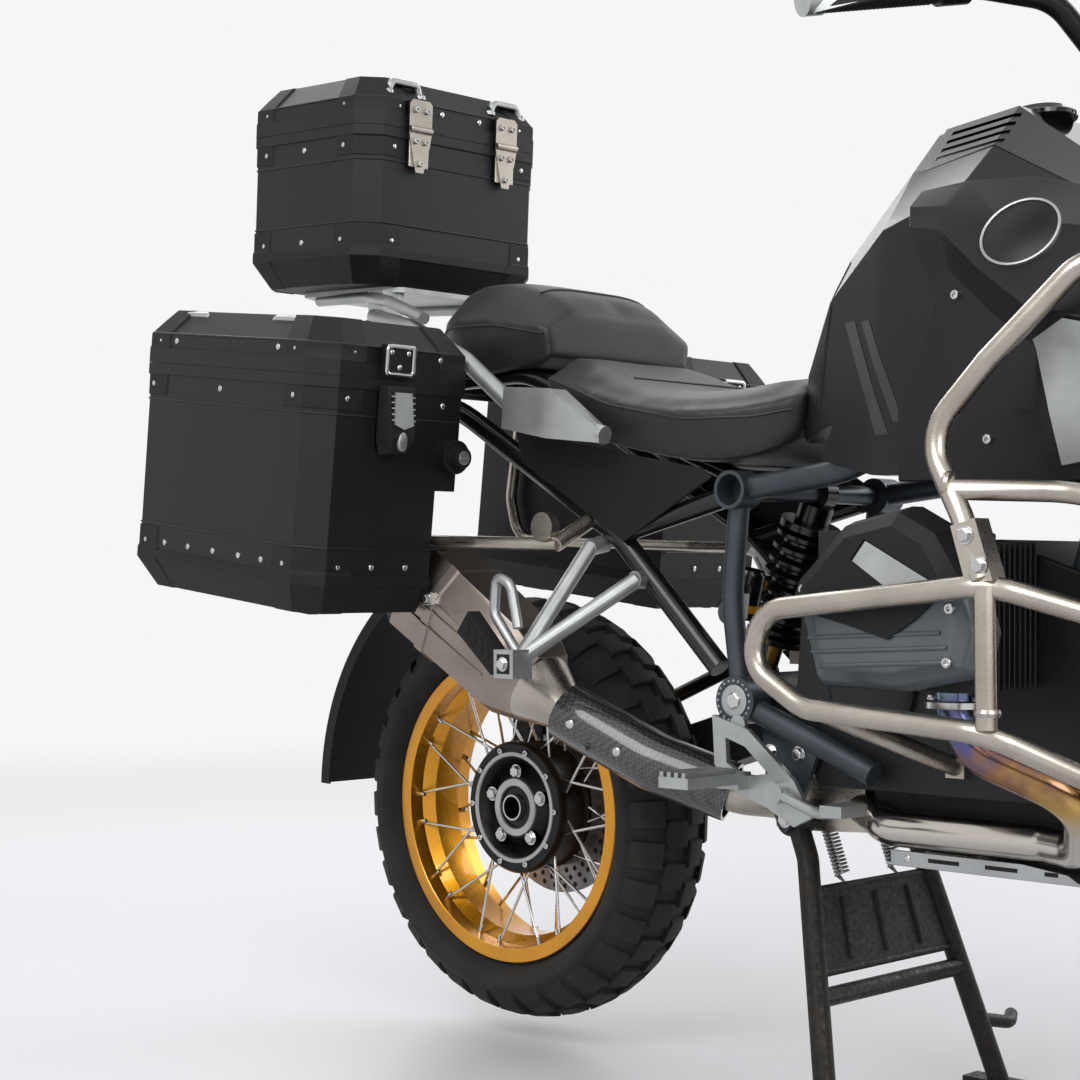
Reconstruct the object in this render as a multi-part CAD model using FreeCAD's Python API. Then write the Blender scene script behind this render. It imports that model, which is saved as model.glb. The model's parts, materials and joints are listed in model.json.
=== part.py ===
import FreeCAD, Part
import math
import os

# Adventure motorcycle with a flat-twin engine and three aluminium cases, parked on its centre stand.
# Millimetres. While drawing, x runs forward from the rear axle, y to the rider's left, z up from the floor.
# save() moves everything by -mid_x, so that the origin lies on the floor under the middle of the motorcycle.

V = FreeCAD.Vector
SIDES = (-1, 1)  # right, left

# Overall layout
wheelbase = 1504.0
mid_x = 663.0
running_gap = 0.3

# Wheels
rear_tyre_radius = 318.0
rear_tyre_half_width = 85.0
rear_lift = 27.0
rear_axle_z = rear_tyre_radius + rear_lift
rear_bead_radius = 216.0
rear_rim_half_width = 57.0
front_tyre_radius = 325.0
front_tyre_half_width = 60.0
front_axle_z = front_tyre_radius
front_bead_radius = 241.3
front_rim_half_width = 38.0
flange_height = 15.0
flange_thickness = 6.0
rim_wall = 6.0
carcass = 15.0
bead_width = 14.0
lug_pitches = 26
lug_share = 0.62
lug_depth = 8.0
spoke_radius = 2.2
spokes_per_side = 20
spoke_lead_deg = 21.0
rear_hub_radius = 100.0
rear_hub_bore = 30.0
rear_disc_radius = 138.0
rear_disc_y = 56.0
front_hub_radius = 46.0
front_disc_radius = 152.5
front_disc_y = 70.0
disc_thickness = 5.0
axle_radius = 12.5

# Steering, drawn upright about its own axis and then leaned back by rake
rake_deg = 23.5
fork_offset = 50.0
steering_foot = V(wheelbase - fork_offset * math.cos(math.radians(rake_deg)), 0,
                  front_axle_z - fork_offset * math.sin(math.radians(rake_deg)))
fork_leg_y = 107.0
slider_radius = 27.0
stanchion_radius = 20.0
slider_top = 440.0
bridge_low = 386.0
bridge_high = 421.0
yoke_low = 930.0
yoke_high = 956.0
head_pin_radius = 12.0
head_middle = 878.0
head_x = steering_foot.x - head_middle * math.sin(math.radians(rake_deg))
head_z = steering_foot.z + head_middle * math.cos(math.radians(rake_deg))
bar_radius = 12.5
grip_radius = 16.5

# What lies between the tank's rear end and the steering head keeps its proportions when the head moves
front_start_x = 606.0
front_reach = 502.0


def along(x):
    return front_start_x + (x - front_start_x) * (head_x - front_start_x) / front_reach


# Frame and engine
frame_y = 150.0
frame_tube = 16.0
pivot_x = 537.0
pivot_z = 535.0
node_x = 532.0
node_z = 806.0
engine_half_width = 128.0
cylinder_x = along(885.0)
cylinder_z = 650.0
cylinder_stagger = 14.0
head_y = 236.0
cover_y = 284.0
fin_count = 9
fin_pitch = 11.0
fin_thickness = 4.0

# Rear suspension
shock_y = 20.0
shock_foot = (436.0, 562.0)
strut_x = 500.0
strut_z = 648.0

# Tank cover
louvre_count = 4
louvre_pitch = 12.0

# Crash bars
bar_tube = 12.5
bar_y = 366.0

# Stands
stand_pivot_x = 598.0
stand_pivot_z = 385.0
stand_foot_x = 703.0
stand_pivot_y = 118.0
stand_foot_y = 190.0
stand_leg = 14.0
stand_pin_radius = 8.0
side_stand_length = 290.0
side_stand_x = 742.0
side_stand_y = 196.0
side_stand_z = 352.0
side_pin_radius = 6.0
side_stand_axis = V(-0.027, -0.888, -0.459)

# Wishbone of the front suspension, where it hangs on the engine
arm_hinge = (along(1084.0), 96.0, 655.0)

# Luggage
case_wall = 2.5
case_chamfer = 33.0
pannier_length = 425.0
pannier_outer_y = 485.0
pannier_inner_y = 227.0
pannier_step_y = 264.0
pannier_pitch_deg = 6.5
pannier_x = -124.0
pannier_seam_z = 988.0
pannier_depth = 325.0
lid_height = 78.0
topcase_length = 305.0
topcase_width = 380.0
topcase_x = -315.0
topcase_seam_z = 1393.0
topcase_depth = 240.0
topcase_pitch_deg = 3.0


def moved(shape, x=0.0, y=0.0, z=0.0):
    out = shape.copy()
    out.translate(V(x, y, z))
    return out


def mirrored(shape):
    return shape.mirror(V(0, 0, 0), V(0, 1, 0))


def pair(shape):
    """The shape, drawn on the left, and its mirror image on the right, as solids that don't touch."""
    return Part.makeCompound([mirrored(shape), shape])


def fuse(*shapes):
    out = shapes[0]
    for shape in shapes[1:]:
        out = out.fuse(shape)
    return out.removeSplitter()


def largest(shape):
    """The one solid that matters, where trimming left crumbs beyond it."""
    return max(shape.Solids, key=lambda s: s.Volume)


def box(x0, x1, y0, y1, z0, z1):
    return Part.makeBox(x1 - x0, y1 - y0, z1 - z0, V(x0, y0, z0))


def rod(start, end, radius):
    a, b = V(*start), V(*end)
    return Part.makeCylinder(radius, (b - a).Length, a, b - a)


def ring_y(outer, inner, y0, y1, x=0.0, z=0.0):
    """A ring about the y direction."""
    out = Part.makeCylinder(outer, y1 - y0, V(x, y0, z), V(0, 1, 0))
    if inner > 0:
        out = out.cut(Part.makeCylinder(inner, y1 - y0, V(x, y0, z), V(0, 1, 0)))
    return out


def polygon(points):
    vectors = [V(*p) for p in points]
    return Part.makePolygon(vectors + [vectors[0]])


def plate_y(outline, y0, y1):
    """An outline of (x, z) points, thick from y0 to y1."""
    face = Part.Face(polygon([(x, y0, z) for x, z in outline]))
    return face.extrude(V(0, y1 - y0, 0))


def plate_z(outline, z0, z1):
    face = Part.Face(polygon([(x, y, z0) for x, y in outline]))
    return face.extrude(V(0, 0, z1 - z0))


def loft(sections, ruled=False):
    """A solid through closed outlines of (x, y, z) points."""
    return Part.makeLoft([polygon(s) for s in sections], True, ruled)


def route(points, bend):
    """Straight runs joined by tangent arcs, each as near to the bend radius as its runs allow."""
    at = [V(*p) for p in points]
    edges, start = [], at[0]
    for before, here, after in zip(at, at[1:], at[2:]):
        back = (before - here).normalize()
        on = (after - here).normalize()
        turn = math.pi - back.getAngle(on)
        longest = 0.45 * min((before - here).Length, (after - here).Length)
        reach = min(bend * math.tan(turn / 2), longest)
        middle = (back + on).normalize()
        radius = reach / math.tan(turn / 2)
        top = here + middle * (radius / math.cos(turn / 2) - radius)
        edges.append(Part.LineSegment(start, here + back * reach).toShape())
        edges.append(Part.Arc(here + back * reach, top, here + on * reach).toShape())
        start = here + on * reach
    edges.append(Part.LineSegment(start, at[-1]).toShape())
    return Part.Wire(edges)


def tube(points, radius, bend=60.0):
    if len(points) == 2:
        return rod(points[0], points[1], radius)
    path = route(points, bend)
    a, b = V(*points[0]), V(*points[1])
    section = Part.Wire([Part.makeCircle(radius, a, b - a)])
    return path.makePipeShell([section], True, False)


def revolve_y(profile, x=0.0, z=0.0):
    """A profile of (y, radius) points turned about the y direction."""
    face = Part.Face(polygon([(0, y, r) for y, r in profile]))
    out = face.revolve(V(0, 0, 0), V(0, 1, 0), 360)
    return moved(out, x, 0, z)


def leaned(shape):
    """From the upright steering frame (forward, left, up the axis) to the motorcycle."""
    out = shape.copy()
    out.rotate(V(0, 0, 0), V(0, 1, 0), -rake_deg)
    out.translate(steering_foot)
    return out


def lean_point(forward, y, up):
    """A point of the upright steering frame, on the motorcycle."""
    turn = math.radians(rake_deg)
    return (steering_foot.x + forward * math.cos(turn) - up * math.sin(turn), y,
            steering_foot.z + forward * math.sin(turn) + up * math.cos(turn))


def at_head(forward, y, up):
    """A point given from the middle of the steering head."""
    return (head_x + forward, y, head_z + up)


def pitched(shape, x, y, z, pitch_deg):
    """Tail up by pitch_deg about its own origin, and then moved into place."""
    out = shape.copy()
    out.rotate(V(0, 0, 0), V(0, 1, 0), pitch_deg)
    out.translate(V(x, y, z))
    return out


def tyre(radius, half_width, bead_radius, rim_half_width, x, z, lug_rows):
    """A block-tread tyre: a faceted ring, hollow towards its rim, with rows of lugs set into it."""
    inside = rim_half_width - running_gap
    seat = bead_radius + running_gap
    clear = bead_radius + flange_height + 2.0
    edge_y, edge_r = half_width * 0.86, radius - half_width * 0.36
    lip_y, lip_r = edge_y + 3, edge_r - 24
    belly_r = (clear + edge_r) / 2
    crown_drop = radius - edge_r
    crown = (edge_y ** 2 + crown_drop ** 2) / (2 * crown_drop)

    def tread(share, below=0.0):
        y = share * half_width
        return (y, radius - crown + math.sqrt(crown ** 2 - y ** 2) - below)

    half = [tread(0.45, lug_depth), (edge_y * 0.95, edge_r - lug_depth), (lip_y, lip_r), (half_width, belly_r),
            (inside, clear), (inside, seat), (inside - bead_width, seat), (half_width - carcass, belly_r - 2),
            (edge_y * 0.8, edge_r - carcass - 6)]
    outline = [(-y, r) for y, r in reversed(half)] + half
    step = 2 * math.pi / lug_pitches
    # the ring's corners stand out, so that the middles of its flats have the profile's radius
    out = 1 / math.cos(step / 2)
    rings = [[V(r * out * math.cos(a), y, r * out * math.sin(a)) for y, r in outline]
             for a in (step * (i + 0.5) for i in range(lug_pitches))]
    faces = []
    for a, b in zip(rings, rings[1:] + rings[:1]):
        for k in range(len(outline)):
            m = (k + 1) % len(outline)
            faces.append(Part.Face(Part.makePolygon([a[k], a[m], b[m], b[k], a[k]])))
    ring = Part.Solid(Part.Shell(faces))
    if ring.Volume < 0:
        ring.reverse()
    sunk = lug_depth + 4
    outlines = {"shoulder": [tread(0.5), tread(0.74), (edge_y * 1.03, edge_r - 2), (lip_y + 4, lip_r + 6),
                             (lip_y - 6, lip_r + 3), tread(0.5, sunk)],
                "centre": [tread(0.05), tread(0.42), tread(0.42, sunk), tread(0.05, sunk)]}
    lugs = []
    for row, offset in lug_rows:
        wide = lug_share * 2 * math.pi * radius / lug_pitches
        for side in SIDES:
            corners = [V(-wide / 2, side * y, r) for y, r in outlines[row]]
            lug = Part.Face(Part.makePolygon(corners + [corners[0]])).extrude(V(wide, 0, 0))
            for i in range(lug_pitches):
                one = lug.copy()
                one.rotate(V(0, 0, 0), V(0, 1, 0), math.degrees(step) * (i + offset + 0.25 * side))
                lugs.append(one)
    return moved(ring.multiFuse(lugs), x, 0, z)


def rim(bead_radius, half_width, x, z):
    """A drop-centre rim with a raised lip each side."""
    lip = bead_radius + flange_height
    out_y = half_width + flange_thickness
    well = half_width * 0.38
    slope = half_width * 0.62
    drop = 16.0
    upper = [(-out_y, lip), (-half_width, lip), (-half_width, bead_radius), (-slope, bead_radius - 2),
             (-well, bead_radius - drop)]
    lower = [(-well * 1.1, bead_radius - drop - rim_wall), (-slope * 1.1, bead_radius - 2 - rim_wall),
             (-out_y, bead_radius - rim_wall - 1)]
    profile = upper + [(-y, r) for y, r in reversed(upper)]
    profile += [(-y, r) for y, r in reversed(lower)] + lower
    return revolve_y(profile, x, z)


def spokes(hub_r, hub_y, rim_r, rim_y, x, z):
    """Crossed spokes: each rim edge has its own set, half leading and half trailing."""
    out = []
    step = 360.0 / spokes_per_side
    for side in SIDES:
        for i in range(spokes_per_side):
            hub_deg = step * (i + 0.25 * side)
            rim_deg = hub_deg + (spoke_lead_deg if i % 2 else -spoke_lead_deg)
            a, b = math.radians(hub_deg), math.radians(rim_deg)
            start = (x + hub_r * math.cos(a), side * hub_y, z + hub_r * math.sin(a))
            end = (x + rim_r * math.cos(b), side * rim_y, z + rim_r * math.sin(b))
            out.append(rod(start, end, spoke_radius))
    return out


def rear_wheel():
    z = rear_axle_z
    put("rear_tyre", tyre(rear_tyre_radius, rear_tyre_half_width, rear_bead_radius,
                          rear_rim_half_width, 0, z, (("shoulder", 0.0), ("centre", 0.5))))
    rim_solid = rim(rear_bead_radius, rear_rim_half_width, 0, z)
    put("rear_rim", rim_solid)
    flange = revolve_y([(-36, rear_hub_bore), (-36, 46), (-20, 62), (-36, 72), (-40, 76), (-40, 96),
                        (-34, rear_hub_radius), (-24, rear_hub_radius), (-18, 92), (14, 92),
                        (22, rear_hub_radius - 2), (30, rear_hub_radius - 6), (30, 60), (46, 60),
                        (46, rear_hub_bore)], 0, z)
    bolts = []
    for i in range(5):
        turn = math.radians(72 * i + 18)
        at = (54 * math.cos(turn), 54 * math.sin(turn))
        bolts.append(ring_y(9, 0, -34, -12, at[0], z + at[1]))
    solid = fuse(flange, *bolts)
    set_of_spokes = spokes(90, 22, rear_bead_radius - 3, rear_rim_half_width - 13, 0, z)
    solid = solid.multiFuse(set_of_spokes).cut(rim_solid)
    put("rear_hub", largest(solid))
    disc = ring_y(rear_disc_radius, 92, rear_disc_y, rear_disc_y + disc_thickness, 0, z)
    carrier = ring_y(96, 60 + running_gap, 30.5, rear_disc_y + disc_thickness, 0, z)
    carrier = carrier.cut(ring_y(90, 0, 38, rear_disc_y + disc_thickness, 0, z))
    carrier = carrier.fuse(ring_y(90, 60 + running_gap, 30.5, 38, 0, z))
    put("rear_brake_disc", fuse(disc, carrier))


def front_wheel():
    x, z = wheelbase, front_axle_z
    put("front_tyre", tyre(front_tyre_radius, front_tyre_half_width, front_bead_radius,
                           front_rim_half_width, x, z, (("shoulder", 0.0),)))
    rim_solid = rim(front_bead_radius, front_rim_half_width, x, z)
    put("front_rim", rim_solid)
    bore = axle_radius + running_gap
    hub = revolve_y([(-60, bore), (-60, 40), (-44, 40), (-40, front_hub_radius), (-34, front_hub_radius),
                     (-26, 30), (26, 30), (34, front_hub_radius), (40, front_hub_radius), (44, 40),
                     (60, 40), (60, bore)], x, z)
    solid = hub.multiFuse(spokes(40, 37, front_bead_radius - 3, front_rim_half_width - 6, x, z))
    put("front_hub", largest(solid.cut(rim_solid)))
    discs = []
    for side in SIDES:
        y0 = side * front_disc_y - disc_thickness / 2
        blade = ring_y(front_disc_radius, 118, y0, y0 + disc_thickness, x, z)
        spider = ring_y(62, bore + 9, y0, y0 + disc_thickness, x, z)
        arms = []
        for i in range(5):
            arm = box(50, 122, -8, 8, 0, disc_thickness)
            arm.rotate(V(0, 0, 0), V(1, 0, 0), -90)
            arm.rotate(V(0, 0, 0), V(0, 1, 0), 72 * i)
            arms.append(moved(arm, x, y0, z))
        inner = side * 60.0
        boss = ring_y(40, bore + 9, min(inner, y0), max(inner, y0 + disc_thickness), x, z)
        discs.append(fuse(blade, spider, boss, *arms))
    put("front_brake_discs", Part.makeCompound(discs))


def swingarm():
    """One-sided arm on the left, with the drive shaft in its tube and the bevel drive at the wheel."""
    z = rear_axle_z
    drive = revolve_y([(67, 20), (67, 84), (78, 96), (112, 96), (138, 70), (152, 44), (152, 20)], 0, z)
    axle = ring_y(rear_hub_bore - running_gap, 20, -34, 70, 0, z)
    lug = plate_y([(-6, z + 88), (66, z + 70), (50, z + 122), (12, z + 122)], 96, 110)
    arm = loft([[(60, 88, z + 4), (60, 150, z + 4), (60, 150, z + 80), (60, 88, z + 80)],
                [(240, 104, z + 56), (240, 168, z + 56), (240, 168, z + 134), (240, 104, z + 134)],
                [(430, 96, z + 120), (430, 160, z + 120), (430, 160, z + 196), (430, 96, z + 196)]])
    yoke = loft([[(425, 96, z + 118), (425, 160, z + 118), (425, 160, z + 196), (425, 96, z + 196)],
                 [(505, 20, pivot_z - 34), (505, 112, pivot_z - 34), (505, 112, pivot_z + 34),
                  (505, 20, pivot_z + 34)]], True)
    hinge = ring_y(34, 0, -110, 112, pivot_x, pivot_z)
    web = box(shock_foot[0] - 26, pivot_x - 10, -20, 100, pivot_z - 28, shock_foot[1] - 16 - running_gap)
    caliper = box(-86, -20, 42, 100, z + 80, z + 140)
    caliper = caliper.cut(ring_y(rear_disc_radius + 5, 0, rear_disc_y - 5, rear_disc_y + disc_thickness + 5, 0, z))
    caliper = caliper.cut(ring_y(rear_hub_radius + 8, 0, 30, 60, 0, z))
    put("swingarm", fuse(drive, axle, arm, yoke, hinge, web, caliper, lug))
    strut = rod((30, 122, z + 104), (strut_x, 122, strut_z), 11)
    ends = [ring_y(18, 0, 110 + running_gap, 134, 30, z + 104), ring_y(18, 0, 110, 134, strut_x, strut_z)]
    put("torque_arm", fuse(strut, *ends).cut(parts["main_frame"]).cut(parts["swingarm"]))


def rear_shock():
    low_x, low_z = shock_foot
    unit = spring(V(low_x, shock_y, low_z), V(node_x - 6, shock_y, node_z - 14), 36, 6.5, 8)
    eyes = [ring_y(16, 0, shock_y - 12, shock_y + 12, low_x, low_z),
            ring_y(22, 0, shock_y - 12, shock_y + 12, node_x, node_z)]
    whole = fuse(unit, *eyes)
    put("rear_shock", whole.cut(ring_y(frame_tube - 3 + running_gap, 0, -60, 60, node_x, node_z)))


def spray_guard():
    """The narrow mudguard behind the rear wheel."""
    z = rear_axle_z
    inner, wall, half = 388.0, 4.0, 96.0
    shell = ring_y(inner + wall, inner, -half, half, 0, z)
    lips = ring_y(inner + wall, inner - 16, -half, -half + wall, 0, z)
    shell = fuse(shell, lips, ring_y(inner + wall, inner - 16, half - wall, half, 0, z))
    keep_deg = (116, 178)
    far = 900.0
    wedge = [(0, z)]
    for deg in (keep_deg[0], sum(keep_deg) / 2, keep_deg[1]):
        wedge.append((far * math.cos(math.radians(deg)), z + far * math.sin(math.radians(deg))))
    shell = shell.common(plate_y(wedge, -half, half))
    arm = tube([(-20, 108, z + 60), (-150, 124, z + 210), (-215, 98, z + 322)], 9, 80)
    put("spray_guard", largest(fuse(shell, arm).cut(parts["swingarm"])))


down_tube_foot = (along(1000.0), 104.0, 690.0)


def down_tube_middle():
    return (along(1046), 88, head_z - 210)


def on_down_tube(z):
    """The x of the frame's front down tube at a height on its lower run."""
    x0, z0 = down_tube_foot[0], down_tube_foot[2]
    x1, z1 = down_tube_middle()[0], down_tube_middle()[2]
    return x0 + (x1 - x0) * (z - z0) / (z1 - z0)


def main_frame():
    left = []
    top = [(node_x, frame_y, node_z), (along(713), 158, 826), (along(880), 118, 930), at_head(0, 22, -14)]
    left.append(tube(top, frame_tube, 140))
    left.append(tube([(pivot_x - 4, frame_y, pivot_z + 20), (518, frame_y, 665),
                      (node_x, frame_y, node_z)], frame_tube - 2, 300))
    left.append(tube([(pivot_x + 20, frame_y, pivot_z - 12), (640, frame_y, 492), (742, frame_y, 452)],
                     frame_tube - 1, 150))
    left.append(tube([at_head(-4, 20, -30), down_tube_middle(), down_tube_foot], frame_tube - 2, 150))
    left.append(rod((along(800), 130, 880), (along(800), 170, 880), 9))
    left.append(ring_y(16, 0, frame_y - 16 + running_gap, frame_y, strut_x + 10, strut_z))
    hanger = plate_y([(560, 520), (652, 480), (628, 420), (stand_pivot_x + 16, stand_pivot_z),
                      (stand_pivot_x, stand_pivot_z - 17), (stand_pivot_x - 16, stand_pivot_z), (566, 440)],
                     stand_pivot_y + 15, stand_pivot_y + 23)
    left.append(hanger)
    left.append(ring_y(stand_pin_radius, 0, stand_pivot_y - 16, stand_pivot_y + 22, stand_pivot_x, stand_pivot_z))
    left.append(ring_y(31, 0, engine_half_width + 4, frame_y + 18, pivot_x, pivot_z))
    left.append(ring_y(25, 0, frame_y - 14, frame_y + 26, node_x + 2, node_z))
    cross = rod((node_x, -frame_y, node_z), (node_x, frame_y, node_z), frame_tube - 3)
    head = Part.makeCylinder(36, 92, V(0, 0, 832), V(0, 0, 1))
    pin = Part.makeCylinder(head_pin_radius, 40, V(0, 0, 914), V(0, 0, 1))
    side_at = V(side_stand_x, side_stand_y, side_stand_z)
    side_root = side_at + side_stand_axis * 48
    side_mount = [rod((742, frame_y, 452), (side_root.x, side_root.y, side_root.z), 12),
                  Part.makeCylinder(side_pin_radius, 66, side_root, side_stand_axis * -1)]
    frame = fuse(*left, *[mirrored(s) for s in left], cross, leaned(head), leaned(pin), *side_mount)
    for side in SIDES:
        y0, y1 = sorted((side * (frame_y - 6), side * (frame_y + 40)))
        frame = frame.cut(ring_y(20, 0, y0, y1, node_x + 2, node_z))
        y0, y1 = sorted((side * (frame_y + 8), side * (frame_y + 40)))
        frame = frame.cut(ring_y(21, 0, y0, y1, pivot_x, pivot_z))
    put("main_frame", frame.cut(parts["engine_block"]))


def rear_subframe():
    left = [tube([(-150, 112, 985), (10, 146, 932), (318, 150, 752), (498, 150, 575)], 15, 200),
            tube([(318, 150, 752), (node_x - 27, 150, node_z - 9)], 14),
            tube([(-150, 112, 985), (120, 128, 985), (470, 118, 838)], 12, 150),
            tube([(node_x - 30, 118, node_z + 18), (470, 118, 838)], 12)]
    cross = [rod((x, -y, z), (x, y, z), 11) for x, y, z in ((-130, 114, 982), (120, 128, 985), (440, 118, 850))]
    whole = fuse(*left, *[mirrored(s) for s in left], *cross)
    put("rear_subframe", whole.cut(parts["main_frame"]))


# Side outlines of a rocker cover and of its two guards, from its cylinder's axis: (forward, up)
cover_outline = ((-113, 20), (-106, 40), (-38, 104), (38, 119), (86, 94), (119, 42), (138, -16), (125, -64),
                 (31, -83), (-85, -79))
guard_outline = ((-150, 20), (-113, 11), (-17, -12), (29, -25), (66, -2), (119, 42), (165, 60), (165, 180),
                 (-150, 180))
insert_outline = ((-17, 62), (1, 84), (106, 29), (91, 21), (32, 30))
guard_wall = 4.0


def offset_outline(outline, x, share):
    """A rocker cover's outline on its cylinder, scaled about its own middle."""
    cx = sum(p[0] for p in outline) / len(outline)
    cz = sum(p[1] for p in outline) / len(outline)
    return [(x + cx + (px - cx) * share, cylinder_z + cz + (pz - cz) * share) for px, pz in outline]


def head_cover(x, growth):
    """The left rocker cover: its side outline, narrowed in steps away from the head."""
    # columns: depth beyond the head, share of the outline
    rows = ((0, 1.0), (26, 1.0), (46, 0.93), (58, 0.78))
    half_span = 115.0
    sections = []
    for deep, share in rows:
        y = cover_y + deep + (growth if deep > 26 else 0)
        sections.append([(px, y, pz) for px, pz in offset_outline(cover_outline, x, share + growth / half_span)])
    return loft(sections, True)


def engine():
    outline = [(612, 640), (600, 500), (640, 430), (1050, 430), (1072, 560), (1040, 690), (905, 738),
               (700, 738), (640, 712)]
    case = plate_y([(along(x), z) for x, z in outline], -engine_half_width, engine_half_width)
    pan = ((690, 440), (690, 372), (720, 356), (1000, 356), (1040, 390), (1040, 440))
    sump = plate_y([(along(x), z) for x, z in pan], -78, 78)
    put("engine_block", fuse(case, sump))
    barrels, covers, guards = [], [], []
    for side in SIDES:
        x = cylinder_x + side * cylinder_stagger
        start = engine_half_width
        barrel = box(x - 70, x + 70, start, head_y, cylinder_z - 68, cylinder_z + 68)
        fins = []
        for i in range(fin_count):
            y = start + 6 + fin_pitch * i
            fins.append(box(x - 88, x + 88, y, y + fin_thickness, cylinder_z - 84, cylinder_z + 84))
        head = loft([[(x - 98, head_y, cylinder_z - 82), (x + 98, head_y, cylinder_z - 82),
                      (x + 98, head_y, cylinder_z + 92), (x - 98, head_y, cylinder_z + 92)],
                     [(x - 112, cover_y, cylinder_z - 84), (x + 112, cover_y, cylinder_z - 84),
                      (x + 112, cover_y, cylinder_z + 98), (x - 112, cover_y, cylinder_z + 98)]], True)
        whole = fuse(barrel, head, *fins)
        cover = head_cover(x, 0.0)
        shell = head_cover(x, guard_wall).cut(cover)
        insert = plate_y(offset_outline(insert_outline, x, 1.0), cover_y, cover_y + 90)
        opening = plate_y(offset_outline(insert_outline, x, 1.06), cover_y, cover_y + 90)
        guard = largest(shell.common(plate_y(offset_outline(guard_outline, x, 1.0), cover_y + 6, cover_y + 90))
                        .cut(opening))
        badge = largest(head_cover(x, guard_wall + 1.5).cut(cover).common(insert))
        barrels.append(mirrored(whole) if side < 0 else whole)
        covers.append(mirrored(cover) if side < 0 else cover)
        guards += [mirrored(g) if side < 0 else g for g in (guard, badge)]
    put("cylinders", Part.makeCompound(barrels))
    put("head_covers", Part.makeCompound(covers))
    put("head_guards", Part.makeCompound(guards))


def exhaust():
    runs = []
    for side in SIDES:
        x = cylinder_x + side * cylinder_stagger
        pts = [(x + 62, side * 262, cylinder_z - 84.5), (x + 62, side * 262, 540),
               (x + 92, side * 260, 496), (along(1066), side * 215, 448),
               (along(1022), side * 140, 384), (along(960), side * 112, 384), (along(735), side * 112, 384),
               (along(668), side * 60, 396), (along(610), side * 30, 404)]
        runs.append(tube(pts, 22, 55))
    collector = loft([[(668, -66, 368), (668, 66, 368), (668, 66, 432), (668, -66, 432)],
                      [(600, -84, 366), (600, 84, 366), (600, 84, 436), (600, -84, 436)],
                      [(545, -92, 368), (545, 20, 368), (545, 20, 430), (545, -92, 430)]], True)
    link = tube([(560, -50, 400), (500, -112, 408), (400, -166, 446), (240, -196, 520)], 27, 90)
    cone_at, flow = V(262, -194, 508), V(-0.86, 0.0, 0.5)
    cone = Part.makeCone(28, 52, 60, cone_at, flow)
    pipes = fuse(*runs, collector, link).cut(parts["engine_block"])
    axis = flow.normalize()
    start = cone_at + axis * 60
    put("silencer", silencer(start, axis))
    put("exhaust_pipes", fuse(pipes, cone).cut(parts["silencer"]).cut(parts["cylinders"]))
    line = [(492, -118, 410), (400, -166, 446), (262, -194, 510)]
    shield = tube(line, 40, 90).cut(tube(line, 35, 90))
    away = plate_z([(180, -166), (360, -144), (540, -52), (540, 60), (180, 60)], 300, 700)
    shield = shield.cut(away)
    studs = [rod((x, y, z), (x - 8, y - 34, z - 14), 5) for x, y, z in ((440, -150, 430), (330, -190, 478))]
    whole = fuse(shield, *studs)
    put("exhaust_shield", largest(whole.cut(parts["exhaust_pipes"])))


def spring(low, high, radius, wire, turns, share=(0.2, 0.85)):
    """A damper with its coil: one turned profile whose bulges are the coil's turns."""
    length = (high - low).Length
    core = radius - wire
    profile = [(0, 0), (core * 0.5, 0), (core * 0.5, length * share[0]), (radius + wire, length * share[0])]
    start, stop = length * share[0] + 8, length * share[1]
    profile.append((radius + wire, start))
    pitch = (stop - start) / turns
    for i in range(turns):
        z = start + pitch * i
        profile += [(core, z + pitch * 0.1), (radius + wire, z + pitch * 0.35), (radius + wire, z + pitch * 0.65),
                    (core, z + pitch * 0.9)]
    profile += [(radius + wire, stop), (radius + wire, stop + 10), (core * 0.8, stop + 10), (core * 0.8, length),
                (0, length)]
    face = Part.Face(polygon([(r, 0, z) for r, z in profile]))
    out = face.revolve(V(0, 0, 0), V(0, 0, 1), 360)
    out.Placement = FreeCAD.Placement(low, FreeCAD.Rotation(V(0, 0, 1), high - low))
    return out


def silencer(start, axis):
    """Six-sided can, waisted at its front cap and cut off square at its tail."""
    lateral = V(0, 1, 0)
    up = axis.cross(lateral).normalize()
    if up.z < 0:
        up = up.multiply(-1)
    # columns: way along, half width, half height
    rows = ((0, 46, 52), (44, 60, 68), (50, 62, 70), (270, 64, 78), (288, 58, 70), (302, 44, 54))

    def can(rows, inset=0.0):
        sections = []
        for way, half_w, half_h in rows:
            middle = start + axis * way + up * (way * 0.02)
            ring = []
            for y, z in ((1, 0.34), (0.62, 1), (-0.62, 1), (-1, 0.34), (-0.8, -0.75), (-0.3, -1), (0.3, -1),
                         (0.8, -0.75)):
                p = middle + lateral * (y * (half_w - inset)) + up * (z * (half_h - inset))
                ring.append((p.x, p.y, p.z))
            sections.append(ring)
        return loft(sections, True)

    strap = can(((188, 63.2, 74.5), (206, 63.4, 75.2)), -3.0)
    mouth = start + axis * 280 + up * 6
    return fuse(can(rows), strap).cut(can(rows[1:-1], 3.0)).cut(Part.makeCylinder(24, 60, mouth, axis))


def skid_plate():
    wall = 4.0
    outer = [(738, 340), (1010, 340), (1092, 372), (1136, 452), (1142, 520), (1138, 521), (1132, 453),
             (1089, 376), (1009, 344), (738, 344)]
    floor = plate_y([(along(x), z) for x, z in outer], -120, 120)
    flank = ((745, 340), (1010, 340), (990, 352), (930, 359), (745, 359))
    side = plate_y([(along(x), z) for x, z in flank], 116, 120)
    lugs = [box(along(800) - 30, along(800) + 30, y - 12, y + 12, 344, 356) for y in (-70, 70)]
    put("skid_plate", fuse(floor, side, mirrored(side), *lugs))


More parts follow.
